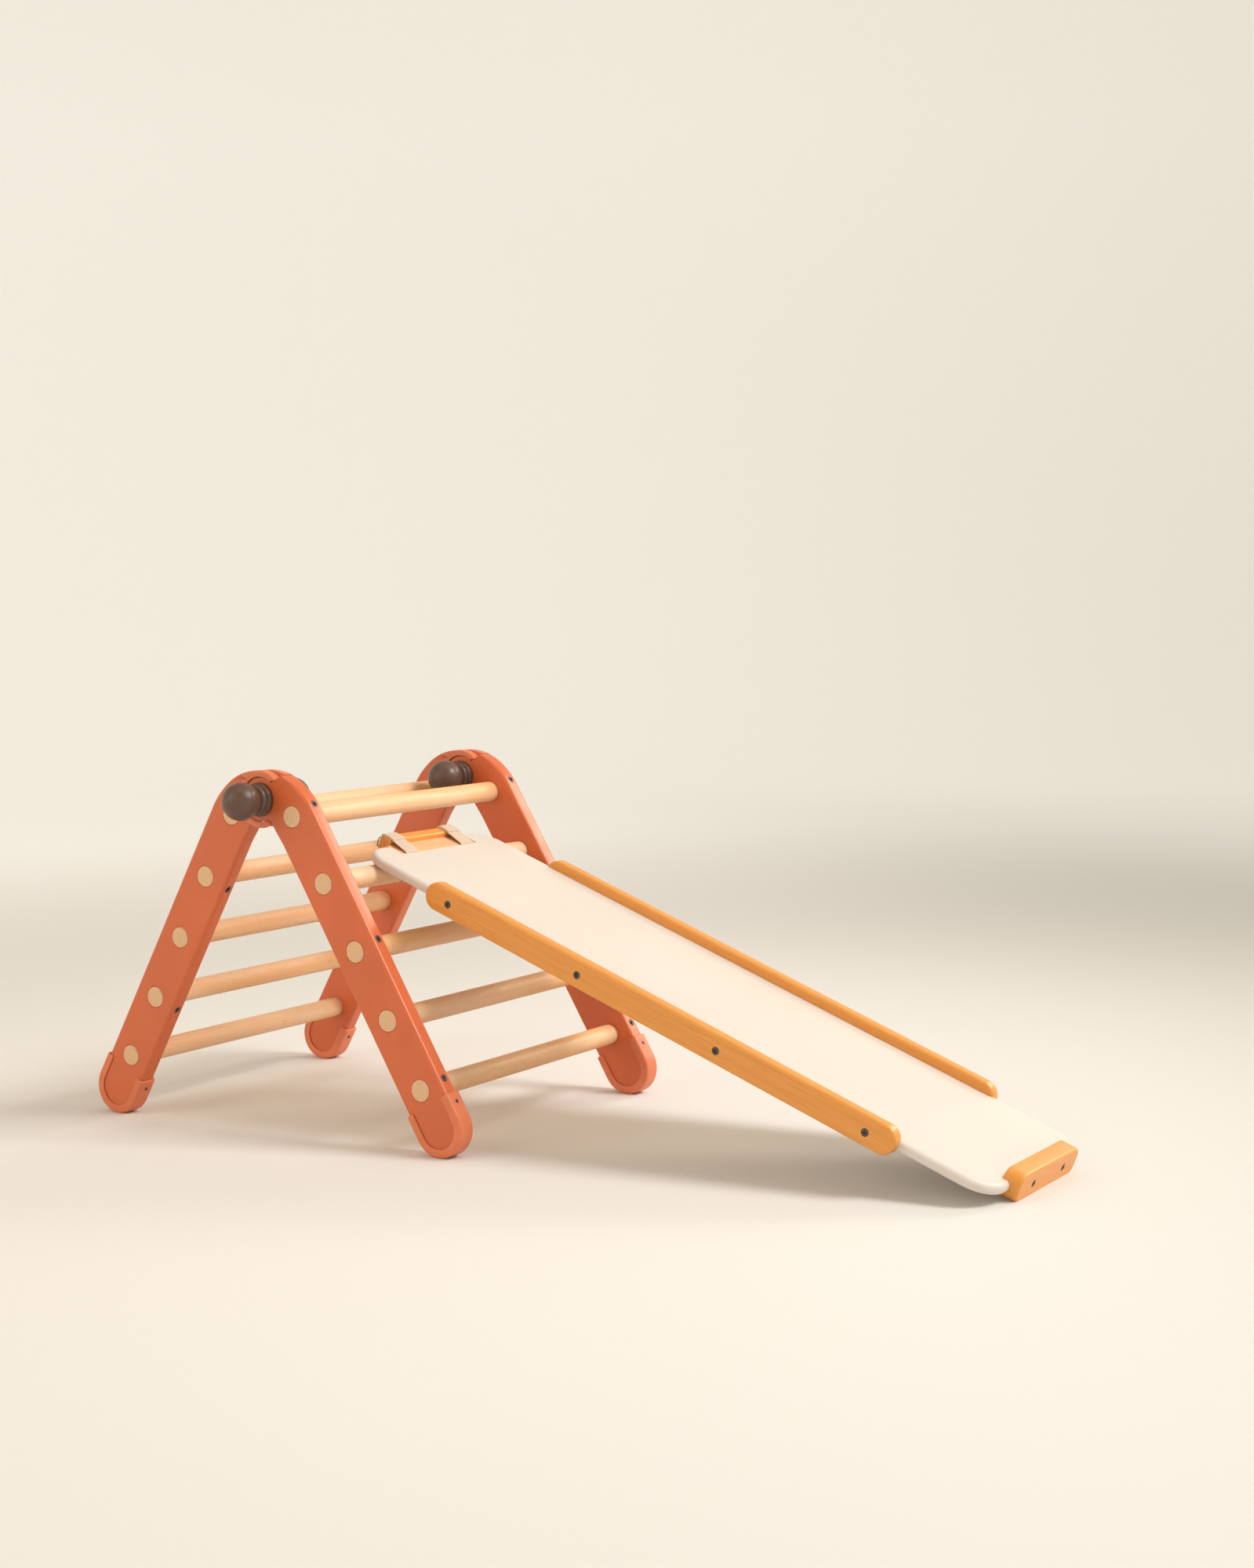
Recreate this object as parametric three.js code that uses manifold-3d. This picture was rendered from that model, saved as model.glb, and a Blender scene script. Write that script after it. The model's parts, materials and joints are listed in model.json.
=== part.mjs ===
// Toddler slide: a folding two-ladder climbing frame with a slide board hooked over a rung.
// Millimetres, +Z up, +X towards the foot of the slide, +Y across the rungs.
import * as THREE from 'three';
import { mergeVertices } from 'three/addons/utils/BufferGeometryUtils.js';
import Module from 'manifold-3d';

const wasm = await Module();
wasm.setup();

// ---- driving dimensions ----
const GAP = 0.3;                  // clearance between touching pieces
const ROUND = 24;                 // sides of a round section

const SPREAD = 30.4;              // degrees from the vertical to each ladder
const LADDER_WIDTH = 520;         // over the outer faces of the rails
const RAIL_WIDTH = 78;
const RAIL_THICK = 26;
const RAIL_ROUND = 5;             // rounded edge of the rails
const RUNG_RADIUS = 16;
const RUNG_PROUD = 1;
const RUNG_COUNT = 5;
const RUNG_PITCH = 112;
const FIRST_RUNG = 51;            // hinge axis to the first rung, along the rail
const TAIL = 61;                  // last rung to the centre of the rail's round end

const HEAD_RADIUS = 43;           // outside of the hinge
const DISC_RADIUS = 33;           // half-lapped disc of each rail
const SHOULDER_START = 60;        // where the outer edge starts to curve over the hinge
const WEB_START = 108;            // degrees round the hinge where wood gives way to the hood
const WEB_END = 188;
const LIP_START = -57;
const LIP_PROUD = 2.6;
const BOLT_RADIUS = 4;

const KNOB_BALL = 28.5;           // radius of the ball
const KNOB_REACH = 43;            // rail face to the centre of the ball
const KNOB_COLLAR = 25.5;         // radius of the flange against the rail
const KNOB_BORE = 24;             // depth of the threaded bore

const SCREW_HEAD = 5.4;
const SCREW_HEAD_DEEP = 5;
const SCREW_SHANK = 2.4;
const SCREW_INTO_RUNG = 9;
const SCREW_SOCKET = 2.7;
const SCREW_RECESS = 0.6;

const CAP_WALL = 3;               // rubber foot cap
const CAP_LIP = 10;               // width of its lips on the rail faces
const CAP_LIP_THICK = 2;
const CAP_LEG = 38;               // straight part of the cap above the round end
const FOOT_FLAT = 0.6;            // depth of the flat that the caps stand on

const BOARD_WIDTH = 306;
const BOARD_THICK = 16;
const BOARD_ROUND = 5.5;
const BOARD_TOP = 26;             // board beyond the rung it hooks over
const BOARD_BOTTOM = 1069;        // rung to the lower end, along the board
const BOARD_TOP_CORNER = 40;
const BOARD_END_CORNER = 46;
const BOARD_SPACE = 1;            // underside of the board above the rung it hangs on
const NOTCH_WIDTH = 186;
const NOTCH_FLOOR = 6;            // bottom of the notch, from the rung axis
const NOTCH_CORNER = 8;           // rounded mouth of the notch

const SIDE_THICK = 20;            // bamboo side rails of the board
const SIDE_HEIGHT = 42;
const SIDE_LIFT = 2;              // their middle above the middle of the board
const SIDE_GROOVE = 8;
const SIDE_START = 112;
const SIDE_LENGTH = 816;
const SIDE_ROUND = 4;

const TOE_LENGTH = 196;           // bamboo bar across the lower end
const TOE_WALL = 14;              // in front of the board's end
const TOE_GROOVE = 13;
const TOE_ROUND = 3;
const TOE_HEEL = 4;               // depth of the flat that the toe bar rests on

const HOOK_WIDTH = 172;
const HOOK_PLATE_TOP = 6.5;       // heights from the middle of the board
const HOOK_BAR_TOP = 15;
const HOOK_BAR_BACK = -47;
const HOOK_BAR_FRONT = -28;
const HOOK_CORNER = 4;
const HOOK_DROP = 9;              // jaw below the rung axis

const STRAP_THICK = 1.4;
const STRAP_WIDTH = 30;
const STRAP_AT = 69;              // each strap from the middle
const BUCKLE_WALL = 2.4;
const BUCKLE_HEIGHT = 16;

// ---- values that follow ----
const ALPHA = THREE.MathUtils.degToRad(SPREAD);
const END_RADIUS = RAIL_WIDTH / 2;
const RUNG_LINE = RAIL_WIDTH / 2;
const TAIL_CENTRE = FIRST_RUNG + (RUNG_COUNT - 1) * RUNG_PITCH + TAIL;
const CAP_RADIUS = END_RADIUS + GAP + CAP_WALL;
const HINGE_HEIGHT = TAIL_CENTRE * Math.cos(ALPHA) - END_RADIUS * Math.sin(ALPHA) + CAP_RADIUS - FOOT_FLAT;
const LAP = RAIL_THICK / 2;
const SHOULDER_RADIUS = (SHOULDER_START ** 2 + RAIL_WIDTH ** 2 - HEAD_RADIUS ** 2)
  / (2 * (RAIL_WIDTH - HEAD_RADIUS));
const HOOK_RUNG = 2;              // the slide hangs on this rung of the front ladder
const HOOK_U = FIRST_RUNG + (HOOK_RUNG - 1) * RUNG_PITCH;
const RUNG_X = HOOK_U * Math.sin(ALPHA) + RUNG_LINE * Math.cos(ALPHA);
const RUNG_Z = HINGE_HEIGHT - HOOK_U * Math.cos(ALPHA) + RUNG_LINE * Math.sin(ALPHA);
const BOARD_SEAT = RUNG_RADIUS + BOARD_SPACE + BOARD_THICK / 2;   // rung axis to the middle of the board
const SIDE_LOW = BOARD_SEAT + SIDE_LIFT - SIDE_HEIGHT / 2;
const SIDE_HIGH = SIDE_LOW + SIDE_HEIGHT;
const TOE_END = BOARD_BOTTOM + GAP + TOE_WALL;
const SLIDE_REACH = Math.hypot(TOE_END, SIDE_LOW);
const SLIDE_TILT = Math.asin((RUNG_Z + TOE_HEEL) / SLIDE_REACH) + Math.atan2(SIDE_LOW, TOE_END);

// ---- helpers ----
function solidOf(geometry) {
  const bare = geometry.clone();
  bare.deleteAttribute('normal');
  bare.deleteAttribute('uv');
  const merged = mergeVertices(bare, 1e-4);
  const vertProperties = Float32Array.from(merged.attributes.position.array);
  const triVerts = Uint32Array.from(merged.index.array);
  return new wasm.Manifold(new wasm.Mesh({ numProp: 3, vertProperties, triVerts }));
}

function geometryOf(solid) {
  const mesh = solid.getMesh();
  const geometry = new THREE.BufferGeometry();
  geometry.setAttribute('position', new THREE.BufferAttribute(Float32Array.from(mesh.vertProperties), 3));
  geometry.setIndex(new THREE.BufferAttribute(Uint32Array.from(mesh.triVerts), 1));
  const flat = geometry.toNonIndexed();
  flat.computeVertexNormals();
  return flat;
}

function distinct(path, curve) {
  // the points of an outline, without the doubled ones where two arcs meet
  const points = path.getPoints(curve);
  return points.filter((p, i) => p.distanceTo(points[(i + 1) % points.length]) > 1e-3);
}

function slab(shape, low, high, bevel = 0, steps = 2, curve = 6) {
  // the outline keeps its drawn size: the bevel is cut inwards
  const outline = new THREE.Shape(distinct(shape, curve));
  outline.holes = shape.holes.map((hole) => new THREE.Path(distinct(hole, curve)));
  const geometry = new THREE.ExtrudeGeometry(outline, {
    depth: high - low - 2 * bevel,
    bevelEnabled: bevel > 0,
    bevelThickness: bevel,
    bevelSize: bevel,
    bevelOffset: -bevel,
    bevelSegments: steps,
  });
  geometry.translate(0, 0, low + bevel);
  return solidOf(geometry);
}

function drum(radius, low, high, sides = ROUND) {
  const geometry = new THREE.CylinderGeometry(radius, radius, high - low, sides);
  geometry.rotateX(Math.PI / 2);
  geometry.translate(0, 0, (low + high) / 2);
  return solidOf(geometry);
}

function block(x0, x1, y0, y1, z0, z1) {
  const geometry = new THREE.BoxGeometry(x1 - x0, y1 - y0, z1 - z0);
  geometry.translate((x0 + x1) / 2, (y0 + y1) / 2, (z0 + z1) / 2);
  return solidOf(geometry);
}

function roundedPath(width, height, radius) {
  const shape = new THREE.Shape();
  const w = width / 2;
  const h = height / 2;
  shape.moveTo(w - radius, -h);
  shape.absarc(w - radius, -h + radius, radius, -Math.PI / 2, 0, false);
  shape.absarc(w - radius, h - radius, radius, 0, Math.PI / 2, false);
  shape.absarc(-w + radius, h - radius, radius, Math.PI / 2, Math.PI, false);
  shape.absarc(-w + radius, -h + radius, radius, Math.PI, 1.5 * Math.PI, false);
  return shape;
}

function turned(profile, sides = ROUND) {
  // a lathe profile of (radius, height) about Z
  const geometry = new THREE.LatheGeometry(profile.map(([r, z]) => new THREE.Vector2(r, z)), sides);
  geometry.rotateX(Math.PI / 2);
  return solidOf(geometry);
}

function paint(colour, roughness, metalness = 0) {
  return new THREE.MeshStandardMaterial({ color: colour, roughness, metalness });
}

const painted = () => paint(0xc9643c, 0.5);
const moulded = () => paint(0xd97350, 0.55);
const beech = () => paint(0xe6bd8a, 0.55);
const bamboo = () => paint(0xdd9245, 0.5);
const cream = () => paint(0xf8ead8, 0.45);
const knobPlastic = () => paint(0x5a4238, 0.35);
const darkSteel = () => paint(0x3c3c3e, 0.4, 0.8);
const webbing = () => paint(0xe4c8a8, 0.9);
const greyMetal = () => paint(0x8c8a86, 0.4, 0.9);

function add(group, name, solid, material) {
  const mesh = new THREE.Mesh(geometryOf(solid), material);
  mesh.name = name;
  group.add(mesh);
}

// ---- rails: x runs down the rail from the hinge axis, y outwards from the inner edge ----
function outlinePoint(degrees) {
  // where a ray from the hinge axis meets the curved shoulder
  const angle = THREE.MathUtils.degToRad(degrees);
  const dx = Math.cos(angle);
  const dy = Math.sin(angle);
  const cy = RAIL_WIDTH - SHOULDER_RADIUS;
  const along = dx * SHOULDER_START + dy * cy;
  const off = SHOULDER_START ** 2 + cy ** 2 - SHOULDER_RADIUS ** 2;
  const reach = along + Math.sqrt(along ** 2 - off);
  return [dx * reach, dy * reach];
}

function railShape() {
  const shape = new THREE.Shape();
  const [wx, wy] = outlinePoint(WEB_START);
  const cy = RAIL_WIDTH - SHOULDER_RADIUS;
  const from = Math.PI / 2;
  const to = Math.atan2(wy - cy, wx - SHOULDER_START);
  shape.moveTo(0, 0);
  shape.lineTo(TAIL_CENTRE, 0);
  shape.absarc(TAIL_CENTRE, END_RADIUS, END_RADIUS, -Math.PI / 2, Math.PI / 2, false);
  shape.lineTo(SHOULDER_START, RAIL_WIDTH);
  shape.absarc(SHOULDER_START, cy, SHOULDER_RADIUS, from, to, false);
  return shape;
}

function rungU(index) {
  return FIRST_RUNG + index * RUNG_PITCH;
}

function screwSide(index) {
  // odd rungs are locked from the outer edge, even ones from the inner edge
  return index % 2 === 0 ? 1 : -1;
}

function alongRail(solid, index) {
  // stands a solid made along +Z on the rail edge, pointing out of the wood
  const side = screwSide(index);
  const edge = side > 0 ? RAIL_WIDTH : 0;
  return solid.rotate([side > 0 ? -90 : 90, 0, 0]).translate([rungU(index), edge, LAP]);
}

function screwHole(index) {
  const shank = SCREW_SHANK + GAP;
  const deep = RUNG_LINE - RUNG_RADIUS + SCREW_INTO_RUNG + GAP;
  const bore = drum(SCREW_HEAD + GAP, -SCREW_HEAD_DEEP - SCREW_RECESS - GAP, RAIL_ROUND, 12);
  return alongRail(bore.add(drum(shank, -deep, 0, 8)), index);
}

function rungScrew(index) {
  const top = -SCREW_RECESS;
  const deep = RUNG_LINE - RUNG_RADIUS + SCREW_INTO_RUNG;
  const head = drum(SCREW_HEAD, top - SCREW_HEAD_DEEP, top, 12);
  const body = head.add(drum(SCREW_SHANK, -deep, top - 1, 8));
  return alongRail(body.subtract(drum(SCREW_SOCKET, top - 3, top + 1, 6)), index);
}

function railSolid() {
  let rail = slab(railShape(), 0, RAIL_THICK, RAIL_ROUND, 2, 8);
  rail = rail.subtract(drum(HEAD_RADIUS + GAP, -1, LAP + 0.1, 36));
  rail = rail.add(drum(DISC_RADIUS, LAP + 0.2, RAIL_THICK, 36));
  rail = rail.subtract(drum(BOLT_RADIUS + GAP, -1, RAIL_THICK + 1, 16));
  for (let i = 0; i < RUNG_COUNT; i += 1) {
    const hole = drum(RUNG_RADIUS + GAP, -1, RAIL_THICK + 1).translate([rungU(i), RUNG_LINE, 0]);
    rail = rail.subtract(hole).subtract(screwHole(i));
  }
  return rail;
}

function ringShape(inner, outer, from, to, follow = false) {
  const a = THREE.MathUtils.degToRad(from);
  const b = THREE.MathUtils.degToRad(to);
  const shape = new THREE.Shape();
  shape.absarc(0, 0, inner, b, a, true);
  if (!follow) {
    shape.absarc(0, 0, outer, a, b, false);
    return shape;
  }
  // the outside goes with the rail's shoulder until that meets the round of the head
  const cy = RAIL_WIDTH - SHOULDER_RADIUS;
  const meet = Math.atan2(-cy, -SHOULDER_START);
  const [wx, wy] = outlinePoint(from);
  shape.absarc(SHOULDER_START, cy, SHOULDER_RADIUS, Math.atan2(wy - cy, wx - SHOULDER_START), meet, false);
  shape.absarc(0, 0, outer, meet, b, false);
  return shape;
}

function hoodSolid() {
  // a C of moulded plastic round the other rail's disc, with a lip over its face
  const inner = DISC_RADIUS + 2 * GAP;
  const outer = HEAD_RADIUS;
  const lip = slab(ringShape(inner, outer, LIP_START, WEB_START + 4), -LIP_PROUD, -GAP, 0.8, 1, 14);
  const ring = slab(ringShape(inner, outer, 3, WEB_START + 4), -1, LAP - 2 * GAP, 0, 1, 10);
  const head = ringShape(inner, outer, WEB_START + 1.2, WEB_END, true);
  const web = slab(head, -LIP_PROUD, LAP - 2 * GAP, 0.8, 1, 7);
  return lip.add(ring).add(web);
}

function capOutline(grow, legs) {
  const shape = new THREE.Shape();
  const r = END_RADIUS + grow;
  const start = TAIL_CENTRE - legs;
  shape.moveTo(start, END_RADIUS - r);
  shape.lineTo(TAIL_CENTRE, END_RADIUS - r);
  shape.absarc(TAIL_CENTRE, END_RADIUS, r, -Math.PI / 2, Math.PI / 2, false);
  shape.lineTo(start, END_RADIUS + r);
  return shape;
}

function capSolid() {
  // a U channel of rubber round the end of the rail, with a flat where it stands on the floor
  const out = GAP + CAP_LIP_THICK;
  const shell = slab(capOutline(GAP + CAP_WALL, CAP_LEG), -out, RAIL_THICK + out, 1.2, 1, 10);
  const window = slab(capOutline(-CAP_LIP, 2 * CAP_LEG), -2 * out, RAIL_THICK + 2 * out, 0, 1, 10);
  const seat = slab(capOutline(GAP, 2 * CAP_LEG), -GAP, RAIL_THICK + GAP, 0, 1, 10);
  const reach = CAP_RADIUS - FOOT_FLAT;
  const floor = block(0, CAP_RADIUS, -CAP_RADIUS, CAP_RADIUS, -CAP_RADIUS, 2 * CAP_RADIUS)
    .rotate([0, 0, -SPREAD])
    .translate([TAIL_CENTRE + reach * Math.cos(ALPHA), END_RADIUS - reach * Math.sin(ALPHA), 0]);
  return shell.subtract(window).subtract(seat).subtract(floor);
}

function rungSolid(index) {
  const half = LADDER_WIDTH / 2 + RUNG_PROUD;
  const rim = 1.5;
  let rung = turned([
    [0, -half], [RUNG_RADIUS - rim, -half], [RUNG_RADIUS, -half + rim],
    [RUNG_RADIUS, half - rim], [RUNG_RADIUS - rim, half], [0, half],
  ]);
  const side = screwSide(index);
  const low = RUNG_RADIUS - SCREW_INTO_RUNG - 1;
  for (const end of [-1, 1]) {
    const bore = drum(SCREW_SHANK + GAP, low, RUNG_RADIUS + 1, 8).rotate([side > 0 ? -90 : 90, 0, 0]);
    rung = rung.subtract(bore.translate([0, 0, end * (LADDER_WIDTH / 2 - LAP)]));
  }
  return rung;
}

function ladder(side, word) {
  const group = new THREE.Group();
  const down = new THREE.Vector3(side * Math.sin(ALPHA), 0, -Math.cos(ALPHA));
  const outward = new THREE.Vector3(side * Math.cos(ALPHA), 0, Math.sin(ALPHA));
  const across = new THREE.Vector3(0, -side, 0);
  const turn = new THREE.Matrix4().makeBasis(down, outward, across);
  group.quaternion.setFromRotationMatrix(turn);
  group.position.set(0, 0, HINGE_HEIGHT);
  for (const [place, face] of [["near", -1], ["far", 1]]) {
    const rail = new THREE.Group();
    // the same rail is used at both sides: its half-lapped disc always looks the same way
    rail.position.z = face * side < 0 ? LADDER_WIDTH / 2 - RAIL_THICK : -LADDER_WIDTH / 2;
    add(rail, `${word}_rail_${place}`, railSolid(), painted());
    add(rail, `${word}_hinge_hood_${place}`, hoodSolid(), moulded());
    add(rail, `${word}_foot_cap_${place}`, capSolid(), moulded());
    for (let i = 0; i < RUNG_COUNT; i += 1) {
      add(rail, `${word}_rung_screw_${place}_${i + 1}`, rungScrew(i), darkSteel());
    }
    group.add(rail);
  }
  for (let i = 0; i < RUNG_COUNT; i += 1) {
    const rung = new THREE.Group();
    rung.position.set(rungU(i), RUNG_LINE, 0);
    add(rung, `${word}_rung_${i + 1}`, rungSolid(i), beech());
    group.add(rung);
  }
  return group;
}

// ---- hinge bolts and ball knobs: z runs out of the rail face ----
function knobSolid() {
  const profile = [
    [0, GAP], [KNOB_COLLAR - 1.2, GAP], [KNOB_COLLAR, 1.6], [KNOB_COLLAR, 5], [KNOB_COLLAR - 1.4, 8],
    [KNOB_COLLAR - 5, 9.4], [KNOB_COLLAR - 6, 10.6], [KNOB_COLLAR - 5.2, 11.8], [KNOB_COLLAR - 2.6, 13.2],
    [KNOB_COLLAR - 1.8, 15.2], [KNOB_COLLAR - 3, 17.4], [KNOB_COLLAR - 6, 18.8],
  ];
  const neck = KNOB_COLLAR - 7.5;
  const first = Math.asin(neck / KNOB_BALL);
  const steps = 9;
  for (let i = 0; i < steps; i += 1) {
    const a = first + ((Math.PI - first) * i) / steps;
    profile.push([KNOB_BALL * Math.sin(a), KNOB_REACH - KNOB_BALL * Math.cos(a)]);
  }
  profile.push([0, KNOB_REACH + KNOB_BALL]);
  return turned(profile).subtract(drum(BOLT_RADIUS + GAP, -1, KNOB_BORE, 16));
}

function hinge(place, middle) {
  const group = new THREE.Group();
  group.position.set(0, middle, HINGE_HEIGHT);
  const reach = LAP + KNOB_BORE - 2;
  const bolt = new THREE.Group();
  bolt.rotation.x = Math.PI / 2;
  add(bolt, `hinge_bolt_${place}`, drum(BOLT_RADIUS, -reach, reach, 16), darkSteel());
  group.add(bolt);
  for (const way of [-1, 1]) {
    const knob = new THREE.Group();
    knob.position.y = way * LAP;
    knob.rotation.x = way * -Math.PI / 2;
    const outside = way * middle > 0 ? "outer" : "inner";
    add(knob, `knob_${place}_${outside}`, knobSolid(), knobPlastic());
    group.add(knob);
  }
  return group;
}

// ---- slide: x runs down the board from the rung it hangs on, z out of the sliding face ----
function boardSolid() {
  const w = BOARD_WIDTH / 2;
  const n = NOTCH_WIDTH / 2;
  const t = BOARD_TOP_CORNER;
  const e = BOARD_END_CORNER;
  const c = NOTCH_CORNER;
  const q = Math.PI / 2;
  const shape = new THREE.Shape();
  shape.moveTo(-BOARD_TOP + t, -w);
  shape.absarc(BOARD_BOTTOM - e, -w + e, e, -q, 0, false);
  shape.absarc(BOARD_BOTTOM - e, w - e, e, 0, q, false);
  shape.absarc(-BOARD_TOP + t, w - t, t, q, 2 * q, false);
  shape.absarc(-BOARD_TOP + c, n + c, c, 2 * q, 3 * q, false);
  shape.lineTo(NOTCH_FLOOR, n);
  shape.lineTo(NOTCH_FLOOR, -n);
  shape.absarc(-BOARD_TOP + c, -n - c, c, q, 2 * q, false);
  shape.absarc(-BOARD_TOP + t, -w + t, t, 2 * q, 3 * q, false);
  const low = BOARD_SEAT - BOARD_THICK / 2;
  return slab(shape, low, low + BOARD_THICK, BOARD_ROUND, 2, 6);
}

function across(shape, y0, y1, bevel) {
  // an outline in x and z, carried along y
  return slab(shape, -y1, -y0, bevel, 1, 6).rotate([90, 0, 0]);
}

function moved(shape, x, z) {
  return new THREE.Shape(distinct(shape, 5).map((p) => new THREE.Vector2(p.x + x, p.y + z)));
}

function sideSolid(way) {
  const inner = BOARD_WIDTH / 2 - SIDE_GROOVE;
  const outline = roundedPath(SIDE_LENGTH, SIDE_HEIGHT, SIDE_HEIGHT / 2);
  const shape = moved(outline, SIDE_START + SIDE_LENGTH / 2, (SIDE_LOW + SIDE_HIGH) / 2);
  const y0 = way > 0 ? inner : -inner - SIDE_THICK;
  const half = BOARD_THICK / 2 + GAP;
  const edge = BOARD_WIDTH / 2 + GAP;
  const groove = block(0, 2 * SIDE_LENGTH, -edge, edge, BOARD_SEAT - half, BOARD_SEAT + half);
  return across(shape, y0, y0 + SIDE_THICK, SIDE_ROUND).subtract(groove);
}

function toeSolid() {
  const start = BOARD_BOTTOM - TOE_GROOVE;
  const outline = roundedPath(TOE_END - start, SIDE_HEIGHT, 2 * TOE_ROUND);
  const shape = moved(outline, (TOE_END + start) / 2, (SIDE_LOW + SIDE_HIGH) / 2);
  const half = BOARD_THICK / 2 + GAP;
  const end = BOARD_BOTTOM + GAP;
  const slot = block(start - 1, end, -TOE_LENGTH, TOE_LENGTH, BOARD_SEAT - half, BOARD_SEAT + half);
  const x = TOE_END - TOE_WALL / 2;
  const z = (x * Math.sin(SLIDE_TILT) - RUNG_Z) / Math.cos(SLIDE_TILT);
  const floor = block(-SIDE_HEIGHT, SIDE_HEIGHT, -TOE_LENGTH, TOE_LENGTH, -SIDE_HEIGHT, 0)
    .rotate([0, -THREE.MathUtils.radToDeg(SLIDE_TILT), 0])
    .translate([x, 0, z]);
  const bar = across(shape, -TOE_LENGTH / 2, TOE_LENGTH / 2, TOE_ROUND);
  return bar.subtract(slot).subtract(floor);
}

function hookPlateSolid() {
  const seat = RUNG_RADIUS + 2 * GAP;
  const top = BOARD_SEAT + HOOK_PLATE_TOP;
  const front = NOTCH_FLOOR - STRAP_THICK - 3 * GAP;
  const back = HOOK_BAR_FRONT + GAP;
  const shape = new THREE.Shape();
  shape.moveTo(front, top);
  shape.lineTo(back, top);
  shape.lineTo(back, -HOOK_DROP);
  shape.absarc(0, 0, seat, Math.PI + Math.asin(HOOK_DROP / seat), Math.acos(front / seat), true);
  return across(shape, -NOTCH_WIDTH / 2 + GAP, NOTCH_WIDTH / 2 - GAP, 0);
}

function hookBarSolid() {
  const top = BOARD_SEAT + HOOK_BAR_TOP;
  const outline = roundedPath(HOOK_BAR_FRONT - HOOK_BAR_BACK, top + HOOK_DROP, HOOK_CORNER);
  const shape = moved(outline, (HOOK_BAR_FRONT + HOOK_BAR_BACK) / 2, (top - HOOK_DROP) / 2);
  return across(shape, -HOOK_WIDTH / 2, HOOK_WIDTH / 2, 2);
}

function strapLoop(grow) {
  // the strap runs round the corners of the hook bar, the rung and the edge of the hook plate
  const r = HOOK_CORNER + GAP + grow;
  const top = BOARD_SEAT + HOOK_BAR_TOP - HOOK_CORNER;
  const slit = NOTCH_FLOOR - STRAP_THICK - 2 * GAP;
  const turns = [
    [slit - 2, BOARD_SEAT + HOOK_PLATE_TOP, 2 + grow],
    [HOOK_BAR_FRONT - HOOK_CORNER, top, r],
    [HOOK_BAR_BACK + HOOK_CORNER, top, r],
    [HOOK_BAR_BACK + HOOK_CORNER, HOOK_CORNER - HOOK_DROP, r],
    [0, 0, RUNG_RADIUS + 2 * GAP + grow],
  ];
  const normals = turns.slice(1).map(([x, z, radius], i) => {
    const [px, pz, pr] = turns[i];
    const angle = Math.atan2(z - pz, x - px);
    return angle - Math.acos((pr - radius) / Math.hypot(x - px, z - pz));
  });
  const shape = new THREE.Shape();
  turns.forEach(([x, z, radius], i) => {
    const from = i === 0 ? 0 : normals[i - 1];
    const last = Math.acos((slit + grow) / radius);
    const to = i === turns.length - 1 ? last : normals[i];
    shape.absarc(x, z, radius, from, to, false);
  });
  return shape;
}

function strapSolid(y) {
  const shape = strapLoop(STRAP_THICK);
  shape.holes.push(strapLoop(0));
  return across(shape, y - STRAP_WIDTH / 2, y + STRAP_WIDTH / 2, 0);
}

function buckleSolid(y) {
  const x = HOOK_BAR_BACK - STRAP_THICK - 2 * GAP;
  const half = STRAP_WIDTH / 2 + 3;
  const top = BOARD_SEAT + HOOK_BAR_TOP - HOOK_CORNER;
  const plate = block(x - BUCKLE_WALL, x, y - half, y + half, top - BUCKLE_HEIGHT, top);
  const slot = block(x - 9, x + 9, y - half + 4, y + half - 4, top - BUCKLE_HEIGHT + 4, top - 4);
  return plate.subtract(slot);
}

function slide() {
  const group = new THREE.Group();
  group.position.set(RUNG_X, 0, RUNG_Z);
  group.rotation.y = SLIDE_TILT;
  add(group, "slide_board", boardSolid(), cream());
  add(group, "slide_side_near", sideSolid(-1), bamboo());
  add(group, "slide_side_far", sideSolid(1), bamboo());
  add(group, "slide_toe_bar", toeSolid(), bamboo());
  add(group, "hook_plate", hookPlateSolid(), beech());
  add(group, "hook_bar", hookBarSolid(), bamboo());
  for (const [place, way] of [["near", -1], ["far", 1]]) {
    add(group, `strap_${place}`, strapSolid(way * STRAP_AT), webbing());
    add(group, `strap_buckle_${place}`, buckleSolid(way * STRAP_AT), greyMetal());
  }
  return group;
}

// ---- the whole slide, standing on z = 0 with the middle of its footprint at the origin ----
const toddlerSlide = new THREE.Group();
toddlerSlide.add(ladder(1, "front"));
toddlerSlide.add(ladder(-1, "rear"));
toddlerSlide.add(hinge("near", -LADDER_WIDTH / 2 + LAP));
toddlerSlide.add(hinge("far", LADDER_WIDTH / 2 - LAP));
toddlerSlide.add(slide());
toddlerSlide.updateMatrixWorld(true);
const extent = new THREE.Box3().setFromObject(toddlerSlide, true);
toddlerSlide.position.x = -(extent.min.x + extent.max.x) / 2;

export default toddlerSlide;
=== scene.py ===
"""Toddler slide: the finished surfaces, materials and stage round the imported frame.

Every shape is worked out in millimetres along its own part's directions and placed in metres.
"""

import json
import math

import bmesh
import bpy
import numpy as np
from mathutils import Matrix, Vector


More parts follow.
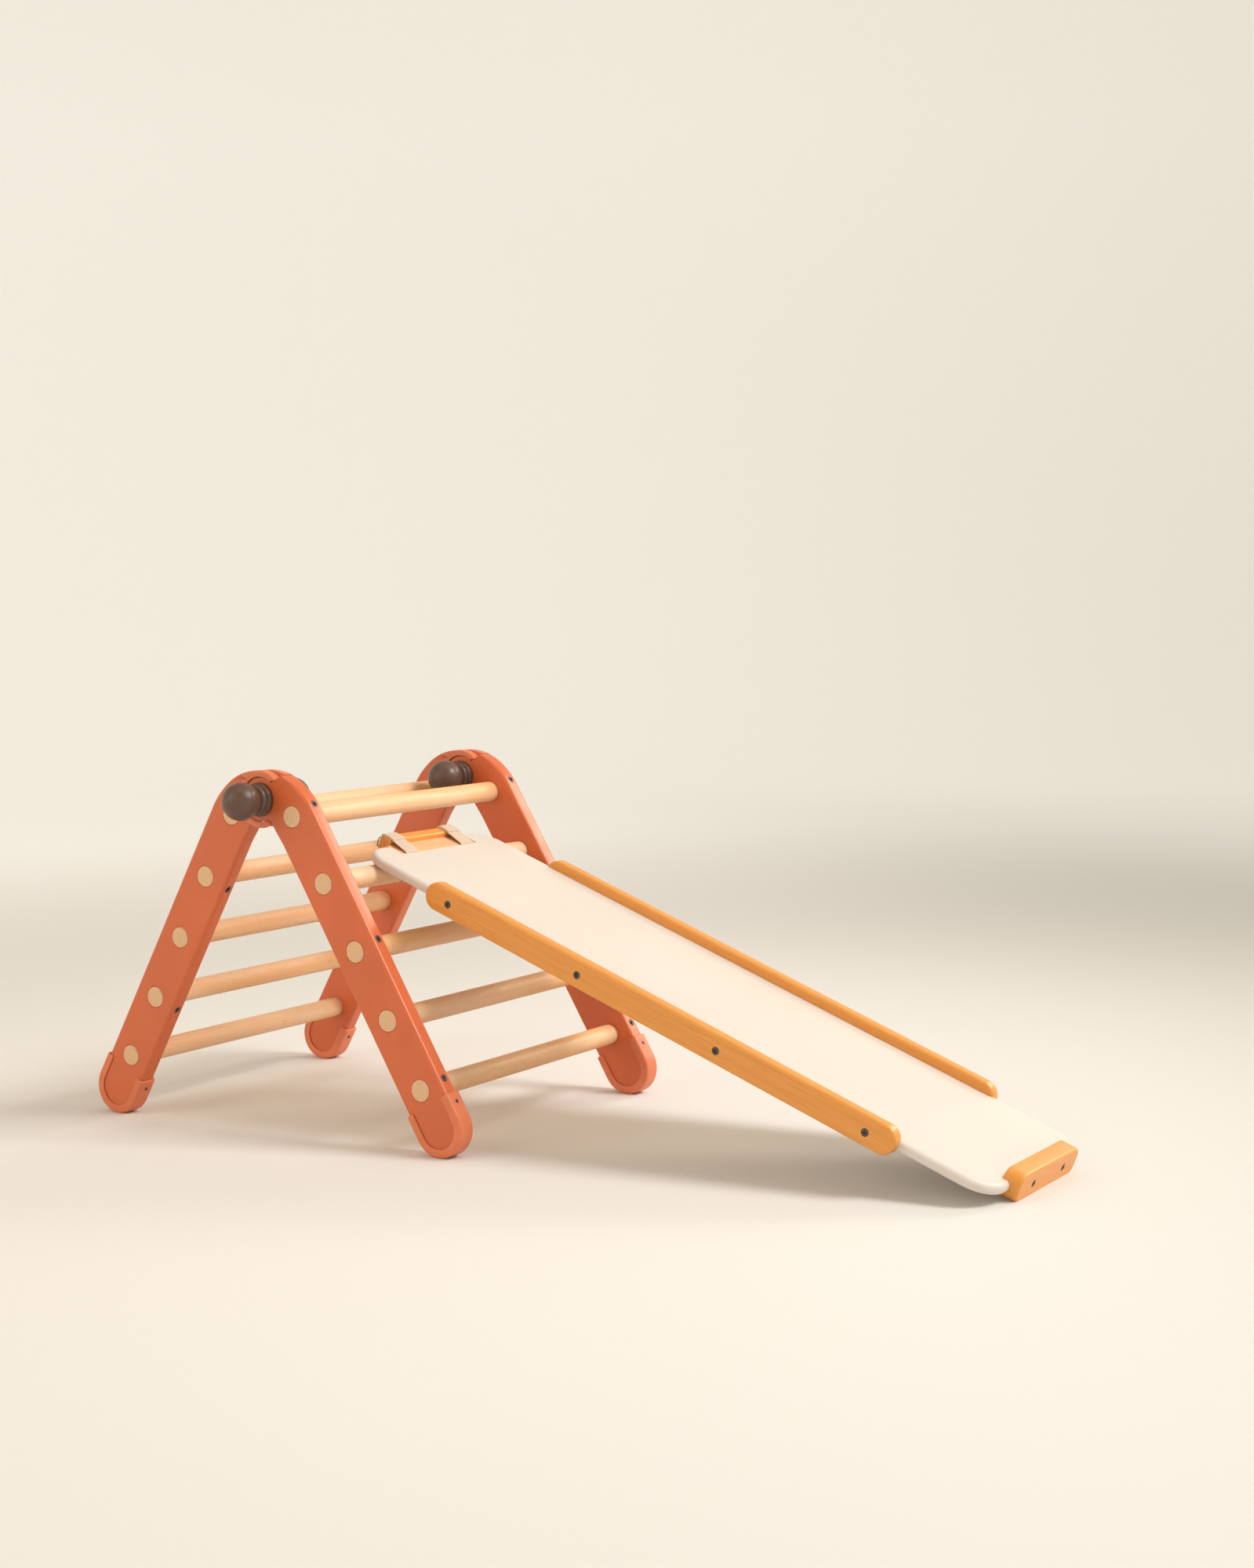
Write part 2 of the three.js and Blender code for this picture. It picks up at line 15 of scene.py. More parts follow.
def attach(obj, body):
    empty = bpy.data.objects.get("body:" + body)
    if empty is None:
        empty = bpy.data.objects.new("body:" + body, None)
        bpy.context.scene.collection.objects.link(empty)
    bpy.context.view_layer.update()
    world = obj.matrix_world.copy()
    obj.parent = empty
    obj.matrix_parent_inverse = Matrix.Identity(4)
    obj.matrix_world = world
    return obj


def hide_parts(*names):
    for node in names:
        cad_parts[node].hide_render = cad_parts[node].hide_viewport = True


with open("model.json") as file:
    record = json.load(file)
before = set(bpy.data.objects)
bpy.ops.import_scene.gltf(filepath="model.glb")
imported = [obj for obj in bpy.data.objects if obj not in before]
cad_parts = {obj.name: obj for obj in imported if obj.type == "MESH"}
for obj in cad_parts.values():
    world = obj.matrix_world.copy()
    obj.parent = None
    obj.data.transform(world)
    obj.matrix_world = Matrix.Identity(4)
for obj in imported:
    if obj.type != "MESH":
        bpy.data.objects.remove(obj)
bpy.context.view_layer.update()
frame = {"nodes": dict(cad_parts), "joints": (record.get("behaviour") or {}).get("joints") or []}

bl_info = {
    "name": "Toddler slide",
    "version": (1, 0, 0),
    "blender": (4, 5, 0),
    "location": "3D View > Sidebar > Toddler slide",
    "description": "Folding climbing ladders with a slide board, built round the packed frame",
    "category": "Add Mesh",
}

MM = 0.001

# ---- sizes shared with the frame, in millimetres ----
SPREAD = math.radians(30.4)      # from the vertical to each ladder
LADDER_WIDTH = 520.0
RAIL_WIDTH = 78.0
RAIL_THICK = 26.0
LAP = RAIL_THICK / 2
RUNG_COUNT = 5
RUNG_PITCH = 112.0
FIRST_RUNG = 51.0                # from the hinge axis, down the rail
RUNG_LINE = RAIL_WIDTH / 2
RUNG_HALF = LADDER_WIDTH / 2 + 1.0
TAIL = 61.0                      # last rung's axis to the centre of the rail's round end
TAIL_CENTRE = FIRST_RUNG + (RUNG_COUNT - 1) * RUNG_PITCH + TAIL
HEAD_RADIUS = 43.0
DISC_RADIUS = 33.0
CUP_RADIUS = 43.3
SHOULDER_START = 60.0
SHOULDER_RADIUS = ((SHOULDER_START ** 2 + RAIL_WIDTH ** 2 - HEAD_RADIUS ** 2)
                   / (2 * (RAIL_WIDTH - HEAD_RADIUS)))
SHOULDER_MIDDLE = RAIL_WIDTH - SHOULDER_RADIUS
CLEARANCE = 0.3                  # between a piece and the one that it sits in or on
SCREW_BORE = 5.7
SCREW_HEAD = 5.35
SCREW_SUNK = 0.3
SCREW_DEEP = 5.0
SCREW_SOCKET = 2.7
SOCKET_DEEP = 2.2
CAP_SCREW_HEAD = 3.1
CAP_SCREW_AT = TAIL_CENTRE - 23.0
BOARD_SEAT = 25.0                # hooked rung's axis to the middle of the board
BOARD_WIDTH = 306.0
BOARD_TOP = 26.0
BOARD_TOP_CORNER = 40.0
BOARD_BOTTOM = 1069.0
BOARD_BOTTOM_CORNER = 46.0
NOTCH_HALF = 93.0
NOTCH_FLOOR = 6.0
NOTCH_MOUTH = 8.0                # corner radius at the notch's mouth
NOTCH_CORNER = 1.5
NOTCH_EDGE = 1.6                 # radius of the board's edge inside the notch
SIDE_LOW = 6.0
SIDE_HEIGHT = 42.0
SIDE_START = 112.0
SIDE_LENGTH = 816.0
SIDE_GROOVE = 8.0
SIDE_SCREWS = [156.0 + 242.2 * index for index in range(4)]
SIDE_SCREW_LEVEL = SIDE_LOW + 19.0
TOE_START = BOARD_BOTTOM - 13.0
TOE_END = BOARD_BOTTOM + 14.3
TOE_HALF = 98.0
TOE_HEEL = 4.0                   # the bar's corner would reach this far under the floor, and is cut flat
TOE_SCREW = 50.0
BAR_BACK = -47.0
BAR_FRONT = -28.0
BAR_LOW = -9.0
BAR_TOP = 40.0
BAR_CORNER = 4.0
BAR_HALF = 86.0
SEAT_RADIUS = 16.6               # round the hooked rung, for the plate and the strap
PLATE_FRONT = 3.7
PLATE_TOP = 31.5
PLATE_HALF = NOTCH_HALF - CLEARANCE
STRAP_AT = 69.0
RAIL_PLACES = (
    ("front", "near", 1, 234.0),
    ("front", "far", 1, -260.0),
    ("rear", "near", -1, -260.0),
    ("rear", "far", -1, 234.0),
)


def joint_place(name):
    """Where a joint of the frame stands, in millimetres."""
    joint = next(j for j in frame["joints"] if j["name"] == name)
    return np.array(joint["pos_m"]) / MM


HINGE = joint_place("fold")
HOOK_RUNG = joint_place("slide_tilt")
SLIDE_TILT = (math.asin((HOOK_RUNG[2] + TOE_HEEL) / math.hypot(TOE_END, SIDE_LOW))
              + math.atan2(SIDE_LOW, TOE_END))


def ladder_axes(side):
    """Rows: down the rail, out from its inner edge, through its thickness."""
    return np.array([
        [side * math.sin(SPREAD), 0, -math.cos(SPREAD)],
        [side * math.cos(SPREAD), 0, math.sin(SPREAD)],
        [0, -side, 0],
    ])


def slide_axes():
    """Rows: down the board, across it, out of its face."""
    return np.array([
        [math.cos(SLIDE_TILT), 0, -math.sin(SLIDE_TILT)],
        [0, 1, 0],
        [math.sin(SLIDE_TILT), 0, math.cos(SLIDE_TILT)],
    ])


SLIDE_SIDEWAYS = np.array([[1, 0, 0], [0, 0, 1], [0, -1, 0]])   # outlines in x and z, carried along -y
SLIDE_ENDWISE = np.array([[0, 1, 0], [0, 0, 1], [1, 0, 0]])     # outlines in y and z, carried along x


# ---- user's sizes and colours ----
def length(name, description, default):
    return bpy.props.FloatProperty(
        name=name, description=description, default=default, unit="LENGTH", precision=4)


def colour(name, description, default):
    return bpy.props.FloatVectorProperty(
        name=name, description=description, default=default, size=3, min=0, max=1, subtype="COLOR")


class LadderSizes(bpy.types.PropertyGroup):
    rail_round: length("Rail edge", "Radius of the rounded rail edges", 0.005)
    rung_radius: length("Rung radius", "Radius of the round rungs", 0.016)
    rung_rim: length("Rung rim", "Radius of the rounded rim of a rung's end", 0.0020)
    hood_round: length("Hood edge", "Radius of the moulded hood's outer edge", 0.0022)
    cap_wall: length("Cap wall", "Wall of the rubber foot caps", 0.003)
    cap_lip: length("Cap lip", "Width of the foot caps' lips on the rail faces", 0.010)
    ball_radius: length("Ball radius", "Radius of the clamp knobs' balls", 0.0285)


class SlideSizes(bpy.types.PropertyGroup):
    board_thick: length("Board thickness", "Thickness of the sliding board", 0.016)
    board_round: length("Board edge", "Radius of the board's rounded edge", 0.0068)
    side_round: length("Side edge", "Radius of the side rails' rounded edges", 0.0042)
    side_thick: length("Side thickness", "Thickness of the bamboo side rails", 0.020)
    toe_corner: length("Toe corner", "Corner radius of the bar at the slide's foot", 0.016)
    strap_width: length("Strap width", "Width of the webbing straps", 0.030)
    strap_thick: length("Strap thickness", "Thickness of the webbing straps", 0.0014)


class FinishColours(bpy.types.PropertyGroup):
    rail: colour("Rail paint", "Terracotta paint of the rails", (0.650, 0.132, 0.036))
    moulded: colour("Moulded parts", "Hoods and foot caps", (0.745, 0.205, 0.092))
    beech: colour("Beech", "Rungs and hook plate", (0.845, 0.570, 0.365))
    beech_dark: colour("Beech grain", "Darker grain of the beech", (0.690, 0.390, 0.185))
    plate: colour("Hook plate", "Redder beech of the hook plate", (0.730, 0.430, 0.265))
    bamboo: colour("Bamboo", "Side rails, toe bar and hook bar", (0.800, 0.325, 0.050))
    bamboo_dark: colour("Bamboo fibre", "Darker fibres of the bamboo", (0.560, 0.205, 0.026))
    board: colour("Board paint", "Cream lacquer of the board", (0.712, 0.655, 0.602))
    knob: colour("Knobs", "Brown plastic of the clamp knobs", (0.105, 0.058, 0.040))
    screw: colour("Screws", "Blackened steel of the screws", (0.075, 0.072, 0.070))
    webbing: colour("Webbing", "Undyed straps", (0.760, 0.590, 0.450))
    buckle: colour("Buckles", "Grey metal of the buckles", (0.330, 0.310, 0.290))


# ---- shapes as grids of points ----
class Shell:
    """Patches of points and faces, in millimetres, that make one mesh."""

    def __init__(self):
        self.points = []
        self.faces = []
        self.weave = []
        self.count = 0

    def add(self, points, faces, weave=None):
        points = np.asarray(points, float).reshape(-1, 3)
        self.points.append(points)
        self.faces += (np.asarray(faces) + self.count).tolist()
        self.weave.append(np.zeros((len(points), 3)) if weave is None else weave.reshape(-1, 3))
        self.count += len(points)

    def placed(self, axes, origin=(0, 0, 0)):
        """Turns and moves everything so far: each point becomes its row of coordinates times the axes."""
        self.points = [p @ np.asarray(axes, float) + np.asarray(origin, float) for p in self.points]
        return self

    def pressed_flat(self):
        """Whatever would sink into the floor is pressed flat on it."""
        self.points = [np.concatenate([p[:, :2], np.maximum(p[:, 2:], 0.0)], 1) for p in self.points]
        return self

    def take(self, other):
        """Adds all of another shell."""
        for points, weave in zip(other.points, other.weave):
            self.points.append(points)
            self.weave.append(weave)
        self.faces += [[i + self.count for i in face] for face in other.faces]
        self.count += other.count
        return self


def strips(rows, cols, ring=True):
    """Quads between neighbouring rows of a grid; a ring also joins the last column to the first."""
    r = np.arange(rows - 1)[:, None]
    c = np.arange(cols if ring else cols - 1)[None, :]
    after = (c + 1) % cols
    quads = np.stack([r * cols + c, r * cols + after, (r + 1) * cols + after, (r + 1) * cols + c], -1)
    return quads.reshape(-1, 4)


def add_tube(shell, rings, first=True, last=True):
    """Rings of points, R by N by 3, joined by quads, with a flat face over the first and the last ring."""
    rows, cols = rings.shape[:2]
    start = shell.count
    shell.add(rings, strips(rows, cols))
    if first:
        shell.faces.append(list(range(start, start + cols)))
    if last:
        shell.faces.append(list(range(start + (rows - 1) * cols, start + rows * cols)))


def arc(x, y, radius, start, end, step=3.0):
    """Points on a circle round (x, y) from one angle to another, in degrees, both ends included."""
    count = max(2, int(abs(end - start) / step) + 1)
    a = np.radians(np.linspace(start, end, count))
    return np.stack([x + radius * np.cos(a), y + radius * np.sin(a)], -1)


def line(x0, y0, x1, y1, step=12.0):
    """Evenly spaced points on a straight line, both ends included."""
    count = max(2, int(math.hypot(x1 - x0, y1 - y0) / step) + 1)
    t = np.linspace(0, 1, count)[:, None]
    return (1 - t) * np.array([[x0, y0]]) + t * np.array([[x1, y1]])


def distinct(outline, closed=True):
    """The outline without points that repeat the one before them."""
    gap = np.linalg.norm(outline - np.roll(outline, 1, axis=0), axis=1)
    keep = gap > 1e-4
    if not closed:
        keep[0] = True
    return outline[keep]


def rounded(corners, step=4.0):
    """Closed outline of (x, y, radius) corners: each corner is the arc that touches both of its sides."""
    pieces = []
    count = len(corners)
    for i, (x, y, radius) in enumerate(corners):
        p = np.array([x, y], float)
        a = np.array(corners[i - 1][:2]) - p
        b = np.array(corners[(i + 1) % count][:2]) - p
        a, b = a / np.linalg.norm(a), b / np.linalg.norm(b)
        half = math.acos(max(-1.0, min(1.0, float(a @ b)))) / 2
        middle = (a + b) / np.linalg.norm(a + b)
        centre = p + middle * radius / math.sin(half)
        first = p + a * radius / math.tan(half) - centre
        second = p + b * radius / math.tan(half) - centre
        from_angle = math.degrees(math.atan2(first[1], first[0]))
        to_angle = math.degrees(math.atan2(second[1], second[0]))
        sweep = (to_angle - from_angle + 180) % 360 - 180
        pieces.append(arc(centre[0], centre[1], radius, from_angle, from_angle + sweep, step))
    return distinct(np.concatenate(pieces))


def inward(outline):
    """Unit normals that point into an anticlockwise outline, halfway between those of its two sides."""
    ahead = np.roll(outline, -1, axis=0) - outline
    ahead /= np.linalg.norm(ahead, axis=1)[:, None]
    along = ahead + np.roll(ahead, 1, axis=0)
    along /= np.linalg.norm(along, axis=1)[:, None]
    return np.stack([-along[:, 1], along[:, 0]], -1)


def edge_rings(outline, level, edge, way, steps=7, margin=0.5):
    """Rings of a rounded edge. At t from 0 to 90 degrees the outline is drawn in by edge (1 - sin t)
    and stands edge (1 - cos t) from the level; one more ring lies flat inside."""
    t = np.radians(np.linspace(0, 90, steps + 1))[:, None]
    edge = np.broadcast_to(np.asarray(edge, float), len(outline))[None, :]
    inset = edge * (1 - np.sin(t))
    rise = edge * (1 - np.cos(t))
    inset = np.concatenate([edge + margin, inset])
    rise = np.concatenate([0 * edge, rise])
    flat = outline[None] + inset[..., None] * inward(outline)[None]
    return np.concatenate([flat, (level + way * rise)[..., None]], -1)


def add_slab(shell, outline, low, high, edge_low, edge_high, steps=7):
    """An outline carried from one level to another, with both of its edges rounded."""
    lower = edge_rings(outline, low, edge_low, 1, steps)
    upper = edge_rings(outline, high, edge_high, -1, steps)[::-1]
    add_tube(shell, np.concatenate([lower, upper]))


def add_turned(shell, profile, sides=64):
    """A profile of (radius, height) points turned about z; the ends of the profile lie on the axis."""
    profile = np.asarray(profile, float)
    a = np.linspace(0, 2 * math.pi, sides, endpoint=False)
    radius, height = profile[:, :1], profile[:, 1:]
    rings = np.stack([radius * np.cos(a), radius * np.sin(a), height + 0 * a[None]], -1)
    shell.add(rings, strips(len(profile), sides))


def eased(points, count=6):
    """A smooth curve through the points: cubics whose slope at each point follows its two neighbours."""
    p = np.asarray(points, float)
    before = np.concatenate([p[:1], p[:-1]])
    after = np.concatenate([p[1:], p[-1:]])
    slope = (after - before) / 2
    t = np.linspace(0, 1, count, endpoint=False)[None, :, None]
    a, b, m, n = p[:-1, None], p[1:, None], slope[:-1, None], slope[1:, None]
    curve = ((2 * t ** 3 - 3 * t ** 2 + 1) * a + (t ** 3 - 2 * t ** 2 + t) * m
             + (3 * t ** 2 - 2 * t ** 3) * b + (t ** 3 - t ** 2) * n)
    return np.concatenate([curve.reshape(-1, p.shape[1]), p[-1:]])


def axes_along(z_axis, x_axis):
    """Rows of a right-handed set with the given z and x."""
    z = np.asarray(z_axis, float)
    x = np.asarray(x_axis, float)
    return np.array([x, np.cross(z, x), z])


# ---- meshes ----
def mesh_of(name, shell):
    """The shell as a mesh in metres, doubles merged and faces outwards."""
    mesh = bpy.data.meshes.new(name)
    mesh.from_pydata(np.concatenate(shell.points) * MM, [], shell.faces)
    weave = mesh.attributes.new("weave", "FLOAT_VECTOR", "POINT")
    weave.data.foreach_set("vector", np.concatenate(shell.weave).ravel())
    bm = bmesh.new()
    bm.from_mesh(mesh)
    bmesh.ops.remove_doubles(bm, verts=bm.verts, dist=2e-7)
    bmesh.ops.dissolve_degenerate(bm, edges=bm.edges, dist=1e-7)
    bmesh.ops.recalc_face_normals(bm, faces=bm.faces)
    wide = [face for face in bm.faces if len(face.verts) > 4]
    bmesh.ops.triangulate(bm, faces=wide, ngon_method="EAR_CLIP")
    bm.to_mesh(mesh)
    bm.free()
    return mesh


def carved(mesh, cutter):
    """The mesh with the cutter's closed shapes taken out of it."""
    body = bpy.data.objects.new("carving_body", mesh)
    tool = bpy.data.objects.new("carving_tool", mesh_of("carving_tool", cutter))
    for item in (body, tool):
        bpy.context.scene.collection.objects.link(item)
    cut = body.modifiers.new("cut", "BOOLEAN")
    cut.operation = "DIFFERENCE"
    cut.solver = "EXACT"
    cut.object = tool
    bpy.context.view_layer.update()
    result = bpy.data.meshes.new_from_object(body.evaluated_get(bpy.context.evaluated_depsgraph_get()))
    result.name = mesh.name
    for item in (body, tool):
        data = item.data
        bpy.data.objects.remove(item)
        bpy.data.meshes.remove(data)
    return result


def finish_piece(name, mesh, material, body, nodes=(), sharp=38):
    """Puts the mesh in the scene as a piece of the object."""
    mesh.name = name
    mesh.materials.clear()
    mesh.materials.append(material)
    mesh.shade_smooth()
    mesh.set_sharp_from_angle(angle=math.radians(sharp))
    piece = bpy.data.objects.new(name, mesh)
    bpy.context.scene.collection.objects.link(piece)
    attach(piece, body)
    if nodes:
        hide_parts(*nodes)
    return piece


def local_copy(mesh, axes, origin):
    """A copy of a mesh made in local directions, turned and moved to its place."""
    copy = mesh.copy()
    turn = Matrix(np.asarray(axes, float).T.tolist()).to_4x4()
    copy.transform(Matrix.Translation(Vector(np.asarray(origin) * MM)) @ turn)
    return copy


# ---- materials ----
class Finish:
    """A material under construction on its own principled shader."""

    def __init__(self, name, roughness, metallic=0.0, specular=0.5):
        self.material = bpy.data.materials.new(name)
        self.material.use_nodes = True
        self.tree = self.material.node_tree
        self.shader = self.tree.nodes["Principled BSDF"]
        self.shader.inputs["Roughness"].default_value = roughness
        self.shader.inputs["Metallic"].default_value = metallic
        self.shader.inputs["Specular IOR Level"].default_value = specular
        self.place = self.tree.nodes.new("ShaderNodeTexCoord").outputs["Object"]

    def node(self, kind, sockets=(), **settings):
        made = self.tree.nodes.new(kind)
        for key, value in settings.items():
            setattr(made, key, value)
        for key, value in dict(sockets).items():
            if isinstance(value, bpy.types.NodeSocket):
                self.tree.links.new(value, made.inputs[key])
            else:
                made.inputs[key].default_value = value
        return made

    def mapped(self, scale, turn=(0, 0, 0), source=None):
        source = source or self.place
        if any(turn):
            source = self.node("ShaderNodeMapping", {"Vector": source, "Rotation": turn}).outputs["Vector"]
        return self.node("ShaderNodeMapping", {"Vector": source, "Scale": scale}).outputs["Vector"]

    def noise(self, vector, scale, detail=4.0, roughness=0.5, distortion=0.0):
        return self.node("ShaderNodeTexNoise", {
            "Vector": vector, "Scale": scale, "Detail": detail, "Roughness": roughness,
            "Distortion": distortion}).outputs["Fac"]

    def ramp(self, value, low, high, to_low=0.0, to_high=1.0):
        return self.node("ShaderNodeMapRange", {
            "Value": value, "From Min": low, "From Max": high, "To Min": to_low, "To Max": to_high},
            interpolation_type="SMOOTHSTEP").outputs["Result"]

    def math(self, operation, a, b=0.0):
        return self.node("ShaderNodeMath", {0: a, 1: b}, operation=operation).outputs[0]

    def blend(self, fac, a, b, kind="MIX"):
        made = self.node("ShaderNodeMix", {0: fac}, data_type="RGBA", blend_type=kind)
        for index, value in ((6, a), (7, b)):
            if isinstance(value, bpy.types.NodeSocket):
                self.tree.links.new(value, made.inputs[index])
            else:
                made.inputs[index].default_value = value
        return made.outputs[2]

    def bump(self, height, strength, distance, below=None):
        sockets = {"Height": height, "Strength": strength, "Distance": distance}
        if below is not None:
            sockets["Normal"] = below
        return self.node("ShaderNodeBump", sockets).outputs["Normal"]

    def done(self, base=None, roughness=None, normal=None):
        for key, value in (("Base Color", base), ("Roughness", roughness), ("Normal", normal)):
            if value is not None:
                self.tree.links.new(value, self.shader.inputs[key])
        return self.material


def shade(rgb, factor=1.0):
    return tuple(min(1.0, c * factor) for c in rgb) + (1.0,)


def painted_wood(name, rgb, roughness):
    """Satin paint: long grain shows faintly under it, with a fine spray texture on top."""
    finish = Finish(name, roughness)
    finish.shader.inputs["Coat Weight"].default_value = 0.22
    finish.shader.inputs["Coat Roughness"].default_value = 0.20
    cloud = finish.ramp(finish.noise(finish.place, 9.0, 3.0), 0.3, 0.7)
    speck = finish.noise(finish.place, 900.0, 2.0)
    base = finish.blend(cloud, shade(rgb, 0.955), shade(rgb, 1.04))
    gloss = finish.ramp(finish.noise(finish.place, 40.0, 4.0), 0.3, 0.7, roughness - 0.05, roughness + 0.06)
    grain = finish.noise(finish.mapped((60, 60, 14)), 1.0, 5.0, 0.6)
    normal = finish.bump(grain, 0.12, 0.0006)
    normal = finish.bump(speck, 0.10, 0.0001, normal)
    return finish.done(base, gloss, normal)


def moulded_plastic(name, rgb, roughness):
    """Matt moulded rubber: very fine pits, cloudy tone, rubbed spots that shine a little."""
    finish = Finish(name, roughness, specular=0.4)
    cloud = finish.ramp(finish.noise(finish.place, 14.0, 4.0), 0.35, 0.7)
    base = finish.blend(cloud, shade(rgb, 0.93), shade(rgb, 1.05))
    gloss = finish.ramp(finish.noise(finish.place, 55.0, 5.0), 0.35, 0.75, roughness - 0.08, roughness + 0.08)
    pits = finish.noise(finish.place, 1500.0, 2.0)
    return finish.done(base, gloss, finish.bump(pits, 0.22, 0.00012))


def beech_wood(name, light, dark, half_length):
    """Oiled beech, lengthwise along y: soft straight grain and short brown flecks, and growth lines on the
    cut ends, half its length from the middle."""
    finish = Finish(name, 0.5)
    along = finish.mapped((34, 2.4, 34))
    tone = finish.noise(along, 1.0, 5.0, 0.55, 0.6)
    pores = finish.noise(along, 9.0, 3.0, 0.6)
    flecks = finish.noise(finish.mapped((620, 55, 620)), 1.0, 1.0)
    side = finish.blend(finish.ramp(tone, 0.34, 0.66), shade(light, 1.04), shade(dark, 1.22))
    side = finish.blend(finish.ramp(flecks, 0.60, 0.74, 0.0, 0.34), side, shade(dark, 0.80))
    rings = finish.node("ShaderNodeTexWave", {
        "Vector": finish.mapped((1, 1, 1), (0, math.radians(35), 0)), "Scale": 105.0, "Distortion": 1.1,
        "Detail": 1.0, "Detail Scale": 8.0}, wave_type="BANDS", bands_direction="X").outputs["Fac"]
    end_pores = finish.noise(finish.place, 1300.0, 2.0)
    end = finish.blend(finish.ramp(rings, 0.25, 0.85), shade(light, 1.03), shade(dark, 0.84))
    end = finish.blend(finish.ramp(end_pores, 0.5, 0.7, 0.0, 0.12), end, shade(dark, 0.80))
    across = finish.node("ShaderNodeSeparateXYZ", {0: finish.place}).outputs["Y"]
    on_end = finish.ramp(finish.math("ABSOLUTE", across), half_length - 0.0005, half_length - 0.0001)
    base = finish.blend(on_end, side, end)
    gloss = finish.ramp(pores, 0.3, 0.7, 0.44, 0.58)
    normal = finish.bump(pores, 0.16, 0.0002)
    normal = finish.bump(flecks, 0.12, 0.0001, normal)
    return finish.done(base, gloss, normal)


def bamboo_wood(name, light, dark, turn, length_axis):
    """Pressed bamboo: narrow laths of differing tone, each with fine dark fibres along it."""
    finish = Finish(name, 0.46)
    finish.shader.inputs["Coat Weight"].default_value = 0.4
    finish.shader.inputs["Coat Roughness"].default_value = 0.28
    lengthwise = np.arange(3) == length_axis
    fine = np.where(lengthwise, 16.0, 620.0)
    broad = np.where(lengthwise, 3.6, 130.0)
    fibres = finish.noise(finish.mapped(fine, turn), 1.0, 4.0, 0.65)
    streaks = finish.noise(finish.mapped(broad, turn), 1.0, 4.0, 0.6, 0.2)
    base = finish.blend(finish.ramp(streaks, 0.30, 0.72, 0.0, 0.42), shade(light), shade(dark, 1.25))
    base = finish.blend(finish.ramp(fibres, 0.48, 0.70, 0.0, 0.50), base, shade(dark))
    knots = finish.noise(finish.mapped((9, 9, 9), turn), 1.0, 2.0)
    base = finish.blend(finish.ramp(knots, 0.62, 0.78, 0.0, 0.22), base, shade(dark, 0.85))
    gloss = finish.ramp(fibres, 0.3, 0.7, 0.38, 0.54)
    return finish.done(base, gloss, finish.bump(fibres, 0.18, 0.0002))


def lacquer(name, rgb, roughness):
    """Smooth lacquered board: nearly even tone with a faint sprayed ripple and rubbed gloss."""
    finish = Finish(name, roughness)
    cloud = finish.ramp(finish.noise(finish.place, 5.0, 3.0), 0.3, 0.7)
    base = finish.blend(cloud, shade(rgb, 0.982), shade(rgb, 1.014))
    gloss = finish.ramp(finish.noise(finish.place, 22.0, 5.0), 0.3, 0.7, roughness - 0.05, roughness + 0.06)
    ripple = finish.noise(finish.place, 420.0, 2.0)
    return finish.done(base, gloss, finish.bump(ripple, 0.08, 0.0001))


def knob_plastic(name, rgb):
    """Brown satin plastic: mottled tone, smudged gloss and hair-fine scratches."""
    finish = Finish(name, 0.36)
    cloud = finish.ramp(finish.noise(finish.place, 60.0, 5.0, 0.6), 0.3, 0.7)
    base = finish.blend(cloud, shade(rgb, 0.86), shade(rgb, 1.18))
    scratches = finish.noise(finish.mapped((90, 700, 260), (0.5, 0.3, 0.9)), 1.0, 3.0)
    gloss = finish.ramp(finish.noise(finish.place, 95.0, 4.0), 0.3, 0.7, 0.30, 0.44)
    normal = finish.bump(scratches, 0.10, 0.0001)
    normal = finish.bump(finish.noise(finish.place, 1700.0, 1.0), 0.10, 0.00006, normal)
    return finish.done(base, gloss, normal)


def blackened_steel(name, rgb, roughness):
    """Blackened steel: the oxide is worn brighter in spots, with fine turning marks."""
    finish = Finish(name, roughness, metallic=0.35)
    wear = finish.ramp(finish.noise(finish.place, 420.0, 4.0), 0.52, 0.72)
    base = finish.blend(wear, shade(rgb), shade(rgb, 2.6))
    gloss = finish.ramp(finish.noise(finish.place, 900.0, 3.0), 0.3, 0.7, roughness - 0.10, roughness + 0.14)
    return finish.done(base, gloss, finish.bump(finish.noise(finish.place, 2200.0, 2.0), 0.2, 0.00008))


def woven_webbing(name, rgb):
    """Herringbone webbing: threads along and across from the strap's own measure, with painted shade in the
    hollows between threads, fuzz and a soft sheen.
    """
    warp_pitch, weft_pitch, chevron = 1.5, 2.0, 5.0      # millimetres
    finish = Finish(name, 0.88, specular=0.25)
    finish.shader.inputs["Sheen Weight"].default_value = 0.35
    finish.shader.inputs["Sheen Roughness"].default_value = 0.5
    measure = finish.node("ShaderNodeAttribute", attribute_name="weave").outputs["Vector"]
    parts = finish.node("ShaderNodeSeparateXYZ", {0: measure})
    warp = finish.math("SINE", finish.math("MULTIPLY", parts.outputs["Y"], 2 * math.pi / warp_pitch))
    zigzag = finish.math("MULTIPLY", finish.math("PINGPONG", parts.outputs["Y"], chevron), 0.8)
    slant = finish.math("ADD", parts.outputs["X"], zigzag)
    weft = finish.math("SINE", finish.math("MULTIPLY", slant, 2 * math.pi / weft_pitch))
    height = finish.math("ADD", finish.math("MULTIPLY", warp, 0.5), weft)
    fuzz = finish.noise(measure, 2.4, 4.0, 0.7)
    # painted shade: the colour darkens where the weave is low, between the threads
    base = finish.blend(finish.ramp(height, -1.2, 1.2), shade(rgb, 0.74), shade(rgb, 1.10))
    base = finish.blend(finish.ramp(fuzz, 0.35, 0.7, 0.0, 0.35), base, shade(rgb, 0.88))
    normal = finish.bump(height, 0.55, 0.0003)
    normal = finish.bump(fuzz, 0.3, 0.0002, normal)
    return finish.done(base, None, normal)


FINISHES = {}


